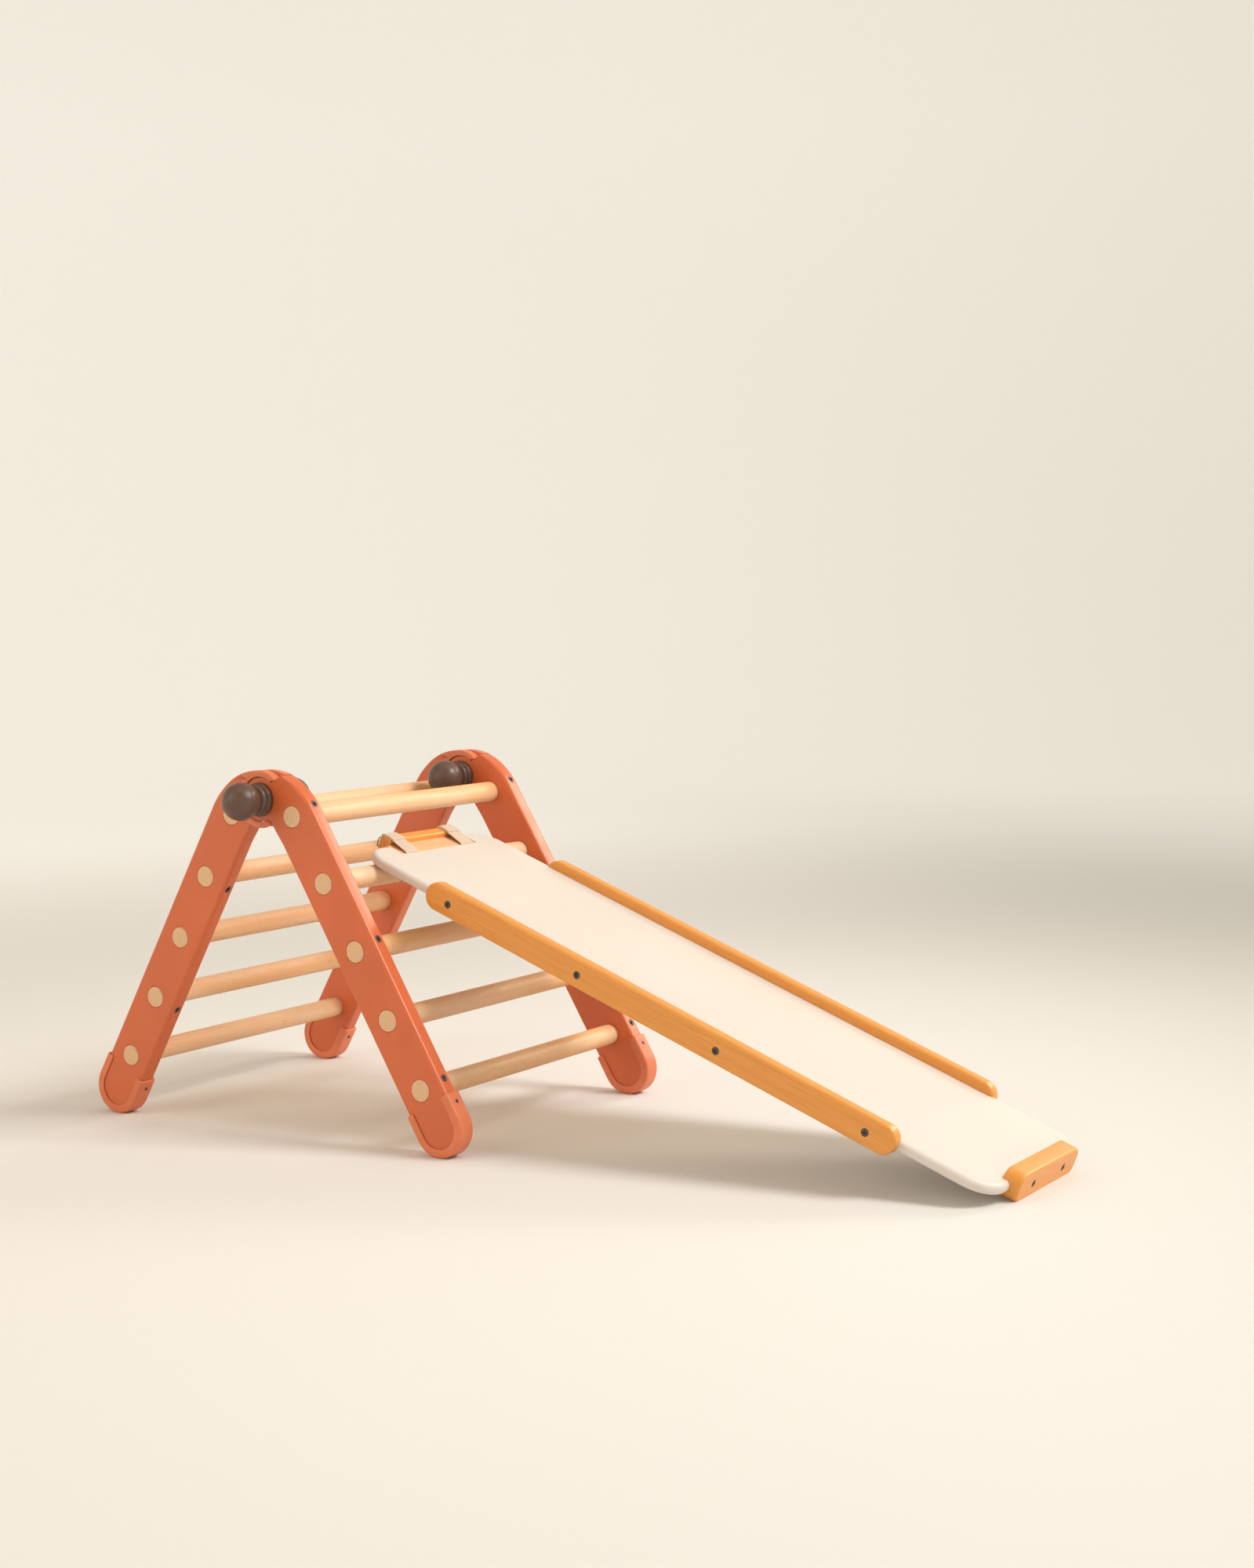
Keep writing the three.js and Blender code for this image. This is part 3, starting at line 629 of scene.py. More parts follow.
def build_finishes(colours):
    """One material for each finish of the object."""
    along_board = (0, -SLIDE_TILT, 0)
    FINISHES.update(
        rail=painted_wood("rail_paint", colours.rail, 0.40),
        moulded=moulded_plastic("moulded_rubber", colours.moulded, 0.42),
        beech=beech_wood("beech", colours.beech, colours.beech_dark, RUNG_HALF * MM),
        beech_plate=beech_wood("beech_plate", colours.plate, colours.beech_dark, PLATE_HALF * MM),
        bamboo=bamboo_wood("bamboo_lengthwise", colours.bamboo, colours.bamboo_dark, along_board, 0),
        bamboo_across=bamboo_wood("bamboo_crosswise", colours.bamboo, colours.bamboo_dark, along_board, 1),
        board=lacquer("board_paint", colours.board, 0.44),
        knob=knob_plastic("knob_plastic", colours.knob),
        screw=blackened_steel("dark_screw", colours.screw, 0.42),
        buckle=blackened_steel("buckle_metal", colours.buckle, 0.34),
        webbing=woven_webbing("webbing", colours.webbing),
    )


# ---- screws ----
def add_socket_head(shell, radius, top, deep, socket, socket_deep):
    """A round screw head with a hexagon socket: rings go from the socket's floor up its walls, over the
    rounded rim and down. The socket's radius is its flat distance over the cosine of the angle to the flat.
    """
    sides = 72
    a = np.linspace(0, 2 * math.pi, sides, endpoint=False)
    off = (a + math.pi / 6) % (math.pi / 3) - math.pi / 6
    hexagon = socket / np.cos(off)
    rows = [
        (0 * a, top - socket_deep), (hexagon * 0.96, top - socket_deep), (hexagon, top - socket_deep + 0.2),
        (hexagon, top - 0.15), (hexagon + 0.2, top), (0 * a + radius - 0.7, top),
        (0 * a + radius - 0.2, top - 0.2), (0 * a + radius, top - 0.7), (0 * a + radius, top - deep),
        (0 * a, top - deep),
    ]
    rings = np.stack([np.stack([r * np.cos(a), r * np.sin(a), np.full(sides, h)], -1) for r, h in rows])
    shell.add(rings, strips(len(rows), sides))


def socket_screw():
    """A lock screw, sunk a little under the surface at z = 0."""
    shell = Shell()
    add_socket_head(shell, SCREW_HEAD, -SCREW_SUNK, SCREW_DEEP, SCREW_SOCKET, SOCKET_DEEP)
    return shell


def screw_bore(bevel):
    """The bore that takes a lock screw, with a bevel round its mouth, as a shape to cut with."""
    shell = Shell()
    floor, mouth = -6.2, SCREW_BORE + bevel
    add_turned(shell, [(0, floor), (SCREW_BORE, floor), (SCREW_BORE, -SCREW_SUNK),
                       (mouth, bevel - SCREW_SUNK), (mouth, 4), (0, 4)], 40)
    return shell


def screwed(facing, places):
    """The bores to cut and the screws to set at the given places."""
    cutter, screws = Shell(), Shell()
    for place in places:
        cutter.take(screw_bore(0.5).placed(facing, place))
        screws.take(socket_screw().placed(facing, place))
    return cutter, screws


# ---- rails ----
def shoulder_reach(degrees):
    """Distance from the hinge axis to the shoulder's arc along a ray: the positive root of the circle's
    equation."""
    a = np.radians(degrees)
    along = np.cos(a) * SHOULDER_START + np.sin(a) * SHOULDER_MIDDLE
    return along + np.sqrt(along ** 2 - (SHOULDER_START ** 2 + SHOULDER_MIDDLE ** 2 - SHOULDER_RADIUS ** 2))


WOOD_INNER = 109.5     # degrees round the hinge where the wood ends, at the disc
WOOD_OUTER = 101.0     # and at the outside, so that the joint with the hood is an S
WOOD_OUTSIDE = 54.0    # distance from the hinge axis past which the joint runs straight out
THIN_EDGE = 0.9        # radius of the rail's edges round the hinge
EDGE_FADE = (55.0, 22.0)   # the full edge eases in from this distance, over this length
STRAIGHT_FROM = 64.0   # the inner edge's points are closer together up to here


def wood_end(radius):
    """Angle at which the wood ends: a smooth step from the disc out to the shoulder."""
    t = np.clip((radius - DISC_RADIUS) / (WOOD_OUTSIDE - DISC_RADIUS), 0, 1)
    return WOOD_INNER + (WOOD_OUTER - WOOD_INNER) * (3 * t ** 2 - 2 * t ** 3)


def polar(radius, degrees):
    """Points at the given distances and angles round the hinge axis."""
    a = np.radians(degrees)
    return np.stack([radius * np.cos(a), radius * np.sin(a)], -1)


def rail_parts():
    """The rail's outline in three runs: the part both layers share, the disc's side and the cup's side."""
    outer = float(shoulder_reach(WOOD_OUTER))
    corner = polar(np.array([outer]), WOOD_OUTER)[0]
    last = math.degrees(math.atan2(corner[1] - SHOULDER_MIDDLE, corner[0] - SHOULDER_START))
    step_out = np.linspace(outer, CUP_RADIUS, 12)
    step_in = np.linspace(CUP_RADIUS, DISC_RADIUS, 10)
    shared = np.concatenate([
        line(CUP_RADIUS, 0, STRAIGHT_FROM, 0, 3),
        line(STRAIGHT_FROM, 0, TAIL_CENTRE, 0, 14),
        arc(TAIL_CENTRE, RUNG_LINE, RUNG_LINE, -90, 90, 3),
        line(TAIL_CENTRE, RAIL_WIDTH, SHOULDER_START, RAIL_WIDTH, 14),
        arc(SHOULDER_START, SHOULDER_MIDDLE, SHOULDER_RADIUS, 90, last, 0.9),
        polar(step_out, wood_end(step_out)),
    ])
    shared = distinct(shared, closed=False)
    joint = wood_end(CUP_RADIUS)
    disc = np.concatenate([
        polar(step_in[1:], wood_end(step_in[1:])),
        arc(0, 0, DISC_RADIUS, WOOD_INNER, 360, 4)[1:],
        line(DISC_RADIUS, 0, CUP_RADIUS, 0, 3)[1:-1],
    ])
    cup = arc(0, 0, CUP_RADIUS, joint, 0, 4)[1:-1]
    return shared, disc, cup


def edge_sizes(shared, others, edge):
    """Edge radius at each point: full along the rail, thinning evenly towards the hinge."""
    start, run = EDGE_FADE
    distance = np.linalg.norm(shared, axis=1)
    size = THIN_EDGE + (edge - THIN_EDGE) * np.clip((distance - start) / run, 0, 1)
    return np.concatenate([size, np.full(len(others), THIN_EDGE)])


def rung_u(index):
    """How far down the rail a rung's axis is."""
    return FIRST_RUNG + index * RUNG_PITCH


def rail_mesh(sizes):
    """One rail in its own directions. Both faces have a rounded edge; at half thickness the outline changes
    from the disc's to the cup's, joined by a flat ledge."""
    shared, disc, cup = rail_parts()
    edge = sizes.rail_round / MM
    shell = Shell()
    upper = edge_rings(np.concatenate([shared, disc]), RAIL_THICK, edge_sizes(shared, disc, edge), -1)
    lower = edge_rings(np.concatenate([shared, cup]), 0.0, edge_sizes(shared, cup, edge), 1)
    for rings in (upper, lower):
        middle = rings[-1:].copy()
        middle[..., 2] = LAP
        add_tube(shell, np.concatenate([rings, middle]), last=False)
    ends = shared[[-1, 0]]
    ledge = np.concatenate([ends[:1], disc, ends[1:], cup[::-1]])
    shell.add(np.concatenate([ledge, np.full((len(ledge), 1), LAP)], -1), [list(range(len(ledge)))])
    cutter = Shell()
    radius = sizes.rung_radius / MM + CLEARANCE
    wide, bevel, past = radius + 0.8, 0.9, 6.0
    hole_profile = [(0, -past), (wide, -past), (wide, 0), (radius, bevel), (radius, RAIL_THICK - bevel),
                    (wide, RAIL_THICK), (wide, RAIL_THICK + past), (0, RAIL_THICK + past)]
    for index in range(RUNG_COUNT):
        hole = Shell()
        add_turned(hole, hole_profile, 72)
        cutter.take(hole.placed(np.eye(3), (rung_u(index), RUNG_LINE, 0)))
        cutter.take(screw_bore(0.4).placed(screw_axes(index), screw_place(index)))
    return carved(mesh_of("rail", shell), cutter)


def screw_axes(index):
    """Rows for a lock screw, whose z points out of the edge that it comes in from."""
    side = 1 if index % 2 == 0 else -1
    return axes_along((0, side, 0), (1, 0, 0))


def screw_place(index):
    """The lock screws of odd rungs come in from the outer edge, those of even rungs from the inner edge."""
    return (rung_u(index), RAIL_WIDTH if index % 2 == 0 else 0.0, LAP)


# ---- hoods ----
HOOD_INNER = 33.6
HOOD_START = -57.0
HOOD_END = 186.4
HOOD_SLANT = 9.5       # the end leans on, in degrees, from the disc out to the shoulder
RING_START = 3.0       # from here on the hood also fills the ring between the disc and the cup
HOOD_SPACE = 1.4       # degrees between the end of the wood and the hood
HOOD_LEAN_FADE = 20.0  # the sections stand straight again this many degrees away
LIP_PROUD = 2.6
TIP_ROUND = 0.9
HOOD_JOINT = float(wood_end(HEAD_RADIUS)) + HOOD_SPACE
HOOD_MEET = math.degrees(math.atan2(-SHOULDER_MIDDLE, -SHOULDER_START))   # the shoulder meets the head


def hood_angle(station, radius):
    """Angle of a point of the hood's section. Near the end of the wood and near the tip the sections lean
    with the S-shaped joint there; in between they stand on rays from the hinge axis."""
    near_wood = np.clip(1 - np.abs(station - HOOD_JOINT) / HOOD_LEAN_FADE, 0, 1)
    near_tip = np.clip(1 - (HOOD_END - station) / HOOD_LEAN_FADE, 0, 1)
    t = np.clip((radius - HOOD_INNER) / (HEAD_RADIUS - HOOD_INNER), 0, 1)
    at_wood = near_wood * (wood_end(radius) + HOOD_SPACE - HOOD_JOINT)
    at_tip = near_tip * HOOD_SLANT * (3 * t ** 2 - 2 * t ** 3)
    return station + at_wood + at_tip


def rounding(distance, radius):
    """How far a rounded end falls back at a distance from it: radius less the root of r^2 - (r - d)^2."""
    return radius * (1 - np.sqrt(1 - np.clip(1 - distance / radius, 0, 1) ** 2))


def hood_mesh(sizes):
    """A C round the other rail's disc, as one tube of sections. The arm is a thin lip over the disc's rim; it
    reaches down to half thickness where the cup runs behind it, and past the end of the wood the section
    steps out to the shoulder. The arm's end is a half circle, and both ends have rounded edges."""
    edge = sizes.hood_round / MM
    half = (HEAD_RADIUS - HOOD_INNER) / 2
    per_degree = math.radians((HEAD_RADIUS + HOOD_INNER) / 2)
    near_end = np.array([0.1, 0.3, 0.6, 1.0, 1.6, 2.4, 3.4, half]) / per_degree
    near_tip = np.array([1.2, 0.7, 0.4, 0.2, 0.06, 0.0]) / per_degree
    step = 0.04
    arm = np.concatenate([HOOD_START + near_end, np.arange(HOOD_START + 9, RING_START - 1, 2.5), [RING_START],
                          np.arange(RING_START + step, HOOD_JOINT - 1, 2.5), [HOOD_JOINT]])
    web = np.concatenate([[HOOD_JOINT + step], np.arange(HOOD_JOINT + 1.5, HOOD_END - 2.5, 1.6),
                          HOOD_END - near_tip])
    station = np.concatenate([arm, web])
    is_web = np.arange(len(station)) >= len(arm)

    outer = np.where(is_web, shoulder_reach(station), HEAD_RADIUS)
    for _ in range(3):
        angle = hood_angle(station, outer)
        reach = np.where(angle < HOOD_MEET, shoulder_reach(np.minimum(angle, HOOD_MEET)), HEAD_RADIUS)
        outer = np.where(is_web, reach, HEAD_RADIUS)
    from_end = (station - HOOD_START) * per_degree
    from_tip = (HOOD_END - station) * per_degree
    draw_in = rounding(from_end, half)
    width = outer - HOOD_INNER - 2 * draw_in
    top = -LIP_PROUD + rounding(from_end, edge) + rounding(from_tip, TIP_ROUND)
    low = np.where(station > RING_START, LAP - 0.6, -CLEARANCE)

    t = np.radians(np.linspace(90, 0, 7))
    big = np.minimum(edge, 0.42 * width)[:, None]
    big = np.minimum(big, (low - top)[:, None] * 0.95)
    small = big * 0.6
    rim, lower = HOOD_INNER + draw_in[:, None], low[:, None]
    outside, upper = (outer - draw_in)[:, None], top[:, None]
    radius = np.concatenate([
        outside - 0.6, outside, outside - big * (1 - np.sin(t)), rim + small * (1 - np.sin(t[::-1])), rim,
        rim + 0.3], 1)
    level = np.concatenate([
        lower, lower - 0.1, upper + big * (1 - np.cos(t)), upper + small * (1 - np.cos(t[::-1])), lower - 0.1,
        lower], 1)
    points = polar(radius, hood_angle(station[:, None], radius))
    shell = Shell()
    add_tube(shell, np.concatenate([points, level[..., None]], -1))
    return mesh_of("hood", shell)


# ---- foot caps ----
CAP_LEG = 38.0
CAP_LIP_THICK = 2.0


def cap_mesh(sizes, axes, origin):
    """A channel section carried round the end of the rail: down one leg, round the half circle, up the other.
    The section is the wall with a lip along each face, all corners rounded; the ends of the legs shrink
    towards the rail, and whatever would sink into the floor is pressed flat."""
    lip = sizes.cap_lip / MM
    inside, outside = CLEARANCE, CLEARANCE + sizes.cap_wall / MM
    z0, z1 = -CLEARANCE - CAP_LIP_THICK, RAIL_THICK + CLEARANCE + CAP_LIP_THICK
    under0, under1 = z0 + CAP_LIP_THICK, z1 - CAP_LIP_THICK
    profile = rounded([
        (-lip, z0, 1.1), (outside, z0, 4.2), (outside, z1, 4.2), (-lip, z1, 1.1), (-lip, under1, 0.7),
        (inside, under1, 1.0), (inside, under0, 1.0), (-lip, under0, 0.7),
    ], 9)
    from_end = np.concatenate([[0.0, 0.5, 1.1, 1.8, 2.6, 3.4], np.linspace(0, CAP_LEG, 12)[2:-1]])
    leg_scale = np.ones(len(from_end))
    leg_scale[:6] = 0.80 + 0.20 * np.sqrt([0.0, 0.38, 0.67, 0.86, 0.97, 1.0])
    push = from_end - CAP_LEG
    bend = np.radians(np.arange(-90, 90.1, 4))
    along = np.concatenate([push, 0 * bend, push[::-1]])
    angle = np.concatenate([np.full(len(push), -math.pi / 2), bend, np.full(len(push), math.pi / 2)])
    scale = np.concatenate([leg_scale, np.ones(len(bend)), leg_scale[::-1]])
    centre = np.array([1 - lip / 2, RAIL_THICK / 2])
    section = centre + (profile[None] - centre) * np.stack([scale, scale ** 0.25], -1)[:, None]
    reach = RUNG_LINE + section[..., 0]
    x = TAIL_CENTRE + along[:, None] + reach * np.cos(angle)[:, None]
    y = RUNG_LINE + reach * np.sin(angle)[:, None]
    shell = Shell()
    add_tube(shell, np.stack([x, y, section[..., 1]], -1))
    return mesh_of("foot_cap", shell.placed(axes, origin).pressed_flat())


# ---- operators ----
class BuildStep:
    bl_options = {"REGISTER", "UNDO"}


class TODDLER_OT_finishes(BuildStep, bpy.types.Operator):
    """Make the materials of the object"""
    bl_idname = "toddler_slide.finishes"
    bl_label = "Materials"

    def execute(self, context):
        build_finishes(context.scene.toddler_colours)
        return {"FINISHED"}


class TODDLER_OT_rails(BuildStep, bpy.types.Operator):
    """Build the four painted rails with their rounded edges, holes and half-lapped hinge discs"""
    bl_idname = "toddler_slide.rails"
    bl_label = "Rails"

    def execute(self, context):
        mesh = rail_mesh(context.scene.toddler_ladder)
        for word, place, side, shift in RAIL_PLACES:
            axes = ladder_axes(side)
            name = f"{word}_rail_{place}"
            copy = local_copy(mesh, axes, HINGE + shift * axes[2])
            finish_piece(f"{name}_painted", copy, FINISHES["rail"], f"{word}_ladder", [name])
        return {"FINISHED"}


class TODDLER_OT_rungs(BuildStep, bpy.types.Operator):
    """Build the ten beech rungs, each with rounded rims at both ends"""
    bl_idname = "toddler_slide.rungs"
    bl_label = "Rungs"

    def execute(self, context):
        sizes = context.scene.toddler_ladder
        radius, rim = sizes.rung_radius / MM, sizes.rung_rim / MM
        round_off = arc(radius - rim, RUNG_HALF - rim, rim, 90, 0, 15)
        middle = np.stack([np.full(15, radius), np.linspace(RUNG_HALF - rim, rim - RUNG_HALF, 15)], -1)
        profile = np.concatenate([
            [(0, RUNG_HALF), (radius * 0.5, RUNG_HALF)], round_off, middle[1:-1], round_off[::-1] * (1, -1),
            [(radius * 0.5, -RUNG_HALF), (0, -RUNG_HALF)]])
        for word, side in (("front", 1), ("rear", -1)):
            axes = ladder_axes(side)
            for index in range(RUNG_COUNT):
                shell = Shell()
                add_turned(shell, profile, 72)
                shell.placed(np.eye(3), (rung_u(index), RUNG_LINE, 0)).placed(axes, HINGE)
                name = f"{word}_rung_{index + 1}"
                finish_piece(f"{name}_beech", mesh_of(name, shell), FINISHES["beech"], f"{word}_ladder",
                             [name])
        return {"FINISHED"}


class TODDLER_OT_hoods(BuildStep, bpy.types.Operator):
    """Build the four moulded hoods that wrap the hinge discs"""
    bl_idname = "toddler_slide.hoods"
    bl_label = "Hinge hoods"

    def execute(self, context):
        mesh = hood_mesh(context.scene.toddler_ladder)
        for word, place, side, shift in RAIL_PLACES:
            axes = ladder_axes(side)
            name = f"{word}_hinge_hood_{place}"
            copy = local_copy(mesh, axes, HINGE + shift * axes[2])
            finish_piece(f"{name}_moulded", copy, FINISHES["moulded"], f"{word}_ladder",
                         [name], 30)
        return {"FINISHED"}


class TODDLER_OT_foot_caps(BuildStep, bpy.types.Operator):
    """Build the four rubber foot caps and the small screws that hold them"""
    bl_idname = "toddler_slide.foot_caps"
    bl_label = "Foot caps"

    def execute(self, context):
        sizes = context.scene.toddler_ladder
        for word, place, side, shift in RAIL_PLACES:
            axes = ladder_axes(side)
            origin = HINGE + shift * axes[2]
            name = f"{word}_foot_cap_{place}"
            cap = cap_mesh(sizes, axes, origin)
            finish_piece(f"{name}_moulded", cap, FINISHES["moulded"], f"{word}_ladder",
                         [name], 50)
            screws = Shell()
            outside = CLEARANCE + sizes.cap_wall / MM
            for edge, way in ((RAIL_WIDTH + outside, 1), (-outside, -1)):
                head = Shell()
                add_socket_head(head, CAP_SCREW_HEAD, 0.75, 2.2, 1.35, 0.7)
                screws.take(head.placed(axes_along((0, way, 0), (1, 0, 0)), (CAP_SCREW_AT, edge, LAP)))
            screws.placed(axes, origin)
            finish_piece(f"{word}_cap_screws_{place}", mesh_of("cap_screws", screws), FINISHES["screw"],
                         f"{word}_ladder")
        return {"FINISHED"}


class TODDLER_OT_rung_screws(BuildStep, bpy.types.Operator):
    """Build the socket screws that lock the rungs in the rails"""
    bl_idname = "toddler_slide.rung_screws"
    bl_label = "Rung screws"

    def execute(self, context):
        for word, place, side, shift in RAIL_PLACES:
            axes = ladder_axes(side)
            for index in range(RUNG_COUNT):
                shell = socket_screw().placed(screw_axes(index), screw_place(index))
                shell.placed(axes, HINGE + shift * axes[2])
                name = f"{word}_rung_screw_{place}_{index + 1}"
                finish_piece(f"{name}_steel", mesh_of(name, shell), FINISHES["screw"], f"{word}_ladder",
                             [name])
        return {"FINISHED"}


KNOB_REACH = 43.0      # rail's face to the middle of the ball
KNOB_NECK = 18.4       # radius at which the ball ends
KNOB_LOW = 0.35
KNOB_FOOT = (          # radius and height of points that the flange and the bead run through
    (24.4, KNOB_LOW), (25.3, 1.0), (25.5, 2.4), (25.4, 5.4), (24.6, 7.8), (22.9, 9.2), (21.4, 10.0),
    (21.2, 10.8), (22.0, 11.7), (23.2, 13.0), (23.6, 15.0), (22.9, 17.2), (21.0, 18.8), (19.0, 19.6),
    (18.2, 20.5),
)


class TODDLER_OT_knobs(BuildStep, bpy.types.Operator):
    """Build the four clamp knobs: ball, bead and flange turned in one piece"""
    bl_idname = "toddler_slide.knobs"
    bl_label = "Clamp knobs"

    def execute(self, context):
        ball = context.scene.toddler_ladder.ball_radius / MM
        a = np.linspace(math.asin(KNOB_NECK / ball), math.pi, 30)
        sphere = np.stack([ball * np.sin(a), KNOB_REACH - ball * np.cos(a)], -1)
        above_foot = sphere[:, 1] > KNOB_FOOT[-1][1] + 1.1
        profile = np.concatenate([[(0, KNOB_LOW), (16, KNOB_LOW)], eased(KNOB_FOOT, 5), sphere[above_foot]])
        profile[-1, 0] = 0
        for place, middle in (("near", -LADDER_WIDTH / 2 + LAP), ("far", LADDER_WIDTH / 2 - LAP)):
            for way in (-1, 1):
                shell = Shell()
                add_turned(shell, profile, 112)
                which = "outer" if way * middle > 0 else "inner"
                shell.placed(axes_along((0, way, 0), (1, 0, 0)), HINGE + np.array([0, middle + way * LAP, 0]))
                name = f"knob_{place}_{which}"
                finish_piece(f"{name}_turned", mesh_of(name, shell), FINISHES["knob"], f"{name}_body",
                             [name], 60)
        return {"FINISHED"}


class TODDLER_OT_board(BuildStep, bpy.types.Operator):
    """Build the cream board with its notch and fully rounded edge"""
    bl_idname = "toddler_slide.board"
    bl_label = "Board"

    def execute(self, context):
        sizes = context.scene.toddler_slide_sizes
        half, thick, edge = BOARD_WIDTH / 2, sizes.board_thick / MM, sizes.board_round / MM
        outline = rounded([
            (-BOARD_TOP, -half, BOARD_TOP_CORNER), (BOARD_BOTTOM, -half, BOARD_BOTTOM_CORNER),
            (BOARD_BOTTOM, half, BOARD_BOTTOM_CORNER), (-BOARD_TOP, half, BOARD_TOP_CORNER),
            (-BOARD_TOP, NOTCH_HALF, NOTCH_MOUTH), (NOTCH_FLOOR, NOTCH_HALF, NOTCH_CORNER),
            (NOTCH_FLOOR, -NOTCH_HALF, NOTCH_CORNER), (-BOARD_TOP, -NOTCH_HALF, NOTCH_MOUTH)], 3)
        in_notch = (np.abs(outline[:, 1]) < NOTCH_HALF + 0.5) & (outline[:, 0] < BOARD_TOP_CORNER)
        edges = np.where(in_notch, NOTCH_EDGE, edge)
        shell = Shell()
        add_slab(shell, outline, BOARD_SEAT - thick / 2, BOARD_SEAT + thick / 2, edges, edges, 10)
        shell.placed(slide_axes(), HOOK_RUNG)
        finish_piece("slide_board_lacquered", mesh_of("slide_board", shell), FINISHES["board"], "slide",
                     ["slide_board"])
        return {"FINISHED"}


class TODDLER_OT_sides(BuildStep, bpy.types.Operator):
    """Build the bamboo side rails and their screws"""
    bl_idname = "toddler_slide.sides"
    bl_label = "Side rails"

    def execute(self, context):
        sizes = context.scene.toddler_slide_sizes
        thick, edge = sizes.side_thick / MM, sizes.side_round / MM
        end, top, corner = SIDE_START + SIDE_LENGTH, SIDE_LOW + SIDE_HEIGHT, SIDE_HEIGHT / 2
        outline = rounded([(SIDE_START, SIDE_LOW, corner), (end, SIDE_LOW, corner),
                           (end, top, corner), (SIDE_START, top, corner)], 3)
        inner = BOARD_WIDTH / 2 - SIDE_GROOVE
        outer = inner + thick
        for place, way in (("near", -1), ("far", 1)):
            shell = Shell()
            low, high = sorted((-way * inner, -way * outer))
            add_slab(shell, outline, low, high, edge, edge, 8)
            shell.placed(SLIDE_SIDEWAYS)
            cutter, screws = screwed(axes_along((0, way, 0), (1, 0, 0)),
                                     [(x, way * outer, SIDE_SCREW_LEVEL) for x in SIDE_SCREWS])
            for part in (shell, cutter, screws):
                part.placed(slide_axes(), HOOK_RUNG)
            name = f"slide_side_{place}"
            finish_piece(f"{name}_bamboo", carved(mesh_of(name, shell), cutter), FINISHES["bamboo"], "slide",
                         [name])
            finish_piece(f"side_screws_{place}", mesh_of("side_screws", screws), FINISHES["screw"], "slide")
        return {"FINISHED"}


class TODDLER_OT_toe_bar(BuildStep, bpy.types.Operator):
    """Build the bamboo bar across the slide's foot and its two screws"""
    bl_idname = "toddler_slide.toe_bar"
    bl_label = "Toe bar"

    def execute(self, context):
        corner = context.scene.toddler_slide_sizes.toe_corner / MM
        top, middle = SIDE_LOW + SIDE_HEIGHT, SIDE_LOW + SIDE_HEIGHT / 2
        outline = rounded([(-TOE_HALF, SIDE_LOW, corner), (TOE_HALF, SIDE_LOW, corner),
                           (TOE_HALF, top, corner), (-TOE_HALF, top, corner)], 4)
        shell = Shell()
        add_slab(shell, outline, TOE_START, TOE_END, 2.6, 3.8, 8)
        shell.placed(SLIDE_ENDWISE)
        cutter, screws = screwed(axes_along((1, 0, 0), (0, 1, 0)),
                                 [(TOE_END, y, middle) for y in (-TOE_SCREW, TOE_SCREW)])
        for part in (shell, cutter, screws):
            part.placed(slide_axes(), HOOK_RUNG)
        bar = carved(mesh_of("slide_toe_bar", shell.pressed_flat()), cutter)
        finish_piece("slide_toe_bar_bamboo", bar, FINISHES["bamboo_across"], "slide",
                     ["slide_toe_bar"])
        finish_piece("toe_screws", mesh_of("toe_screws", screws), FINISHES["screw"], "slide")
        return {"FINISHED"}


class TODDLER_OT_hook(BuildStep, bpy.types.Operator):
    """Build the hook: a beech plate seated on the rung and the bamboo bar behind it"""
    bl_idname = "toddler_slide.hook"
    bl_label = "Hook"

    def execute(self, context):
        front, back, bevel = PLATE_FRONT, BAR_FRONT + CLEARANCE, 1.2
        jaw_low = 180 + math.degrees(math.asin(-BAR_LOW / SEAT_RADIUS))
        jaw_high = math.degrees(math.acos(front / SEAT_RADIUS))
        outline = np.concatenate([
            [(back, BAR_LOW)], arc(0, 0, SEAT_RADIUS, jaw_low, jaw_high, 4),
            [(front, PLATE_TOP - bevel), (front - bevel, PLATE_TOP), (back, PLATE_TOP)]])
        plate = Shell()
        add_slab(plate, outline, -PLATE_HALF, PLATE_HALF, 0.4, 0.4, 3)
        plate.placed(SLIDE_SIDEWAYS).placed(slide_axes(), HOOK_RUNG)
        finish_piece("hook_plate_beech", mesh_of("hook_plate", plate), FINISHES["beech_plate"], "slide",
                     ["hook_plate"], 30)
        bar = Shell()
        upper = BAR_CORNER + 0.5
        outline = rounded([(BAR_BACK, BAR_LOW, BAR_CORNER), (BAR_FRONT, BAR_LOW, BAR_CORNER),
                           (BAR_FRONT, BAR_TOP, upper), (BAR_BACK, BAR_TOP, upper)], 8)
        add_slab(bar, outline, -BAR_HALF, BAR_HALF, 2.4, 2.4, 6)
        bar.placed(SLIDE_SIDEWAYS).placed(slide_axes(), HOOK_RUNG)
        finish_piece("hook_bar_bamboo", mesh_of("hook_bar", bar), FINISHES["bamboo_across"], "slide",
                     ["hook_bar"])
        return {"FINISHED"}


SLIT = NOTCH_FLOOR - 2.0         # the strap goes down through the slit between the plate and the board
BUCKLE_HEIGHT = 13.6
BUCKLE_WIRE = 1.15               # radius of the wire
WIRE_SPACE = 1.2                 # from the middle of the wire to what it lies on


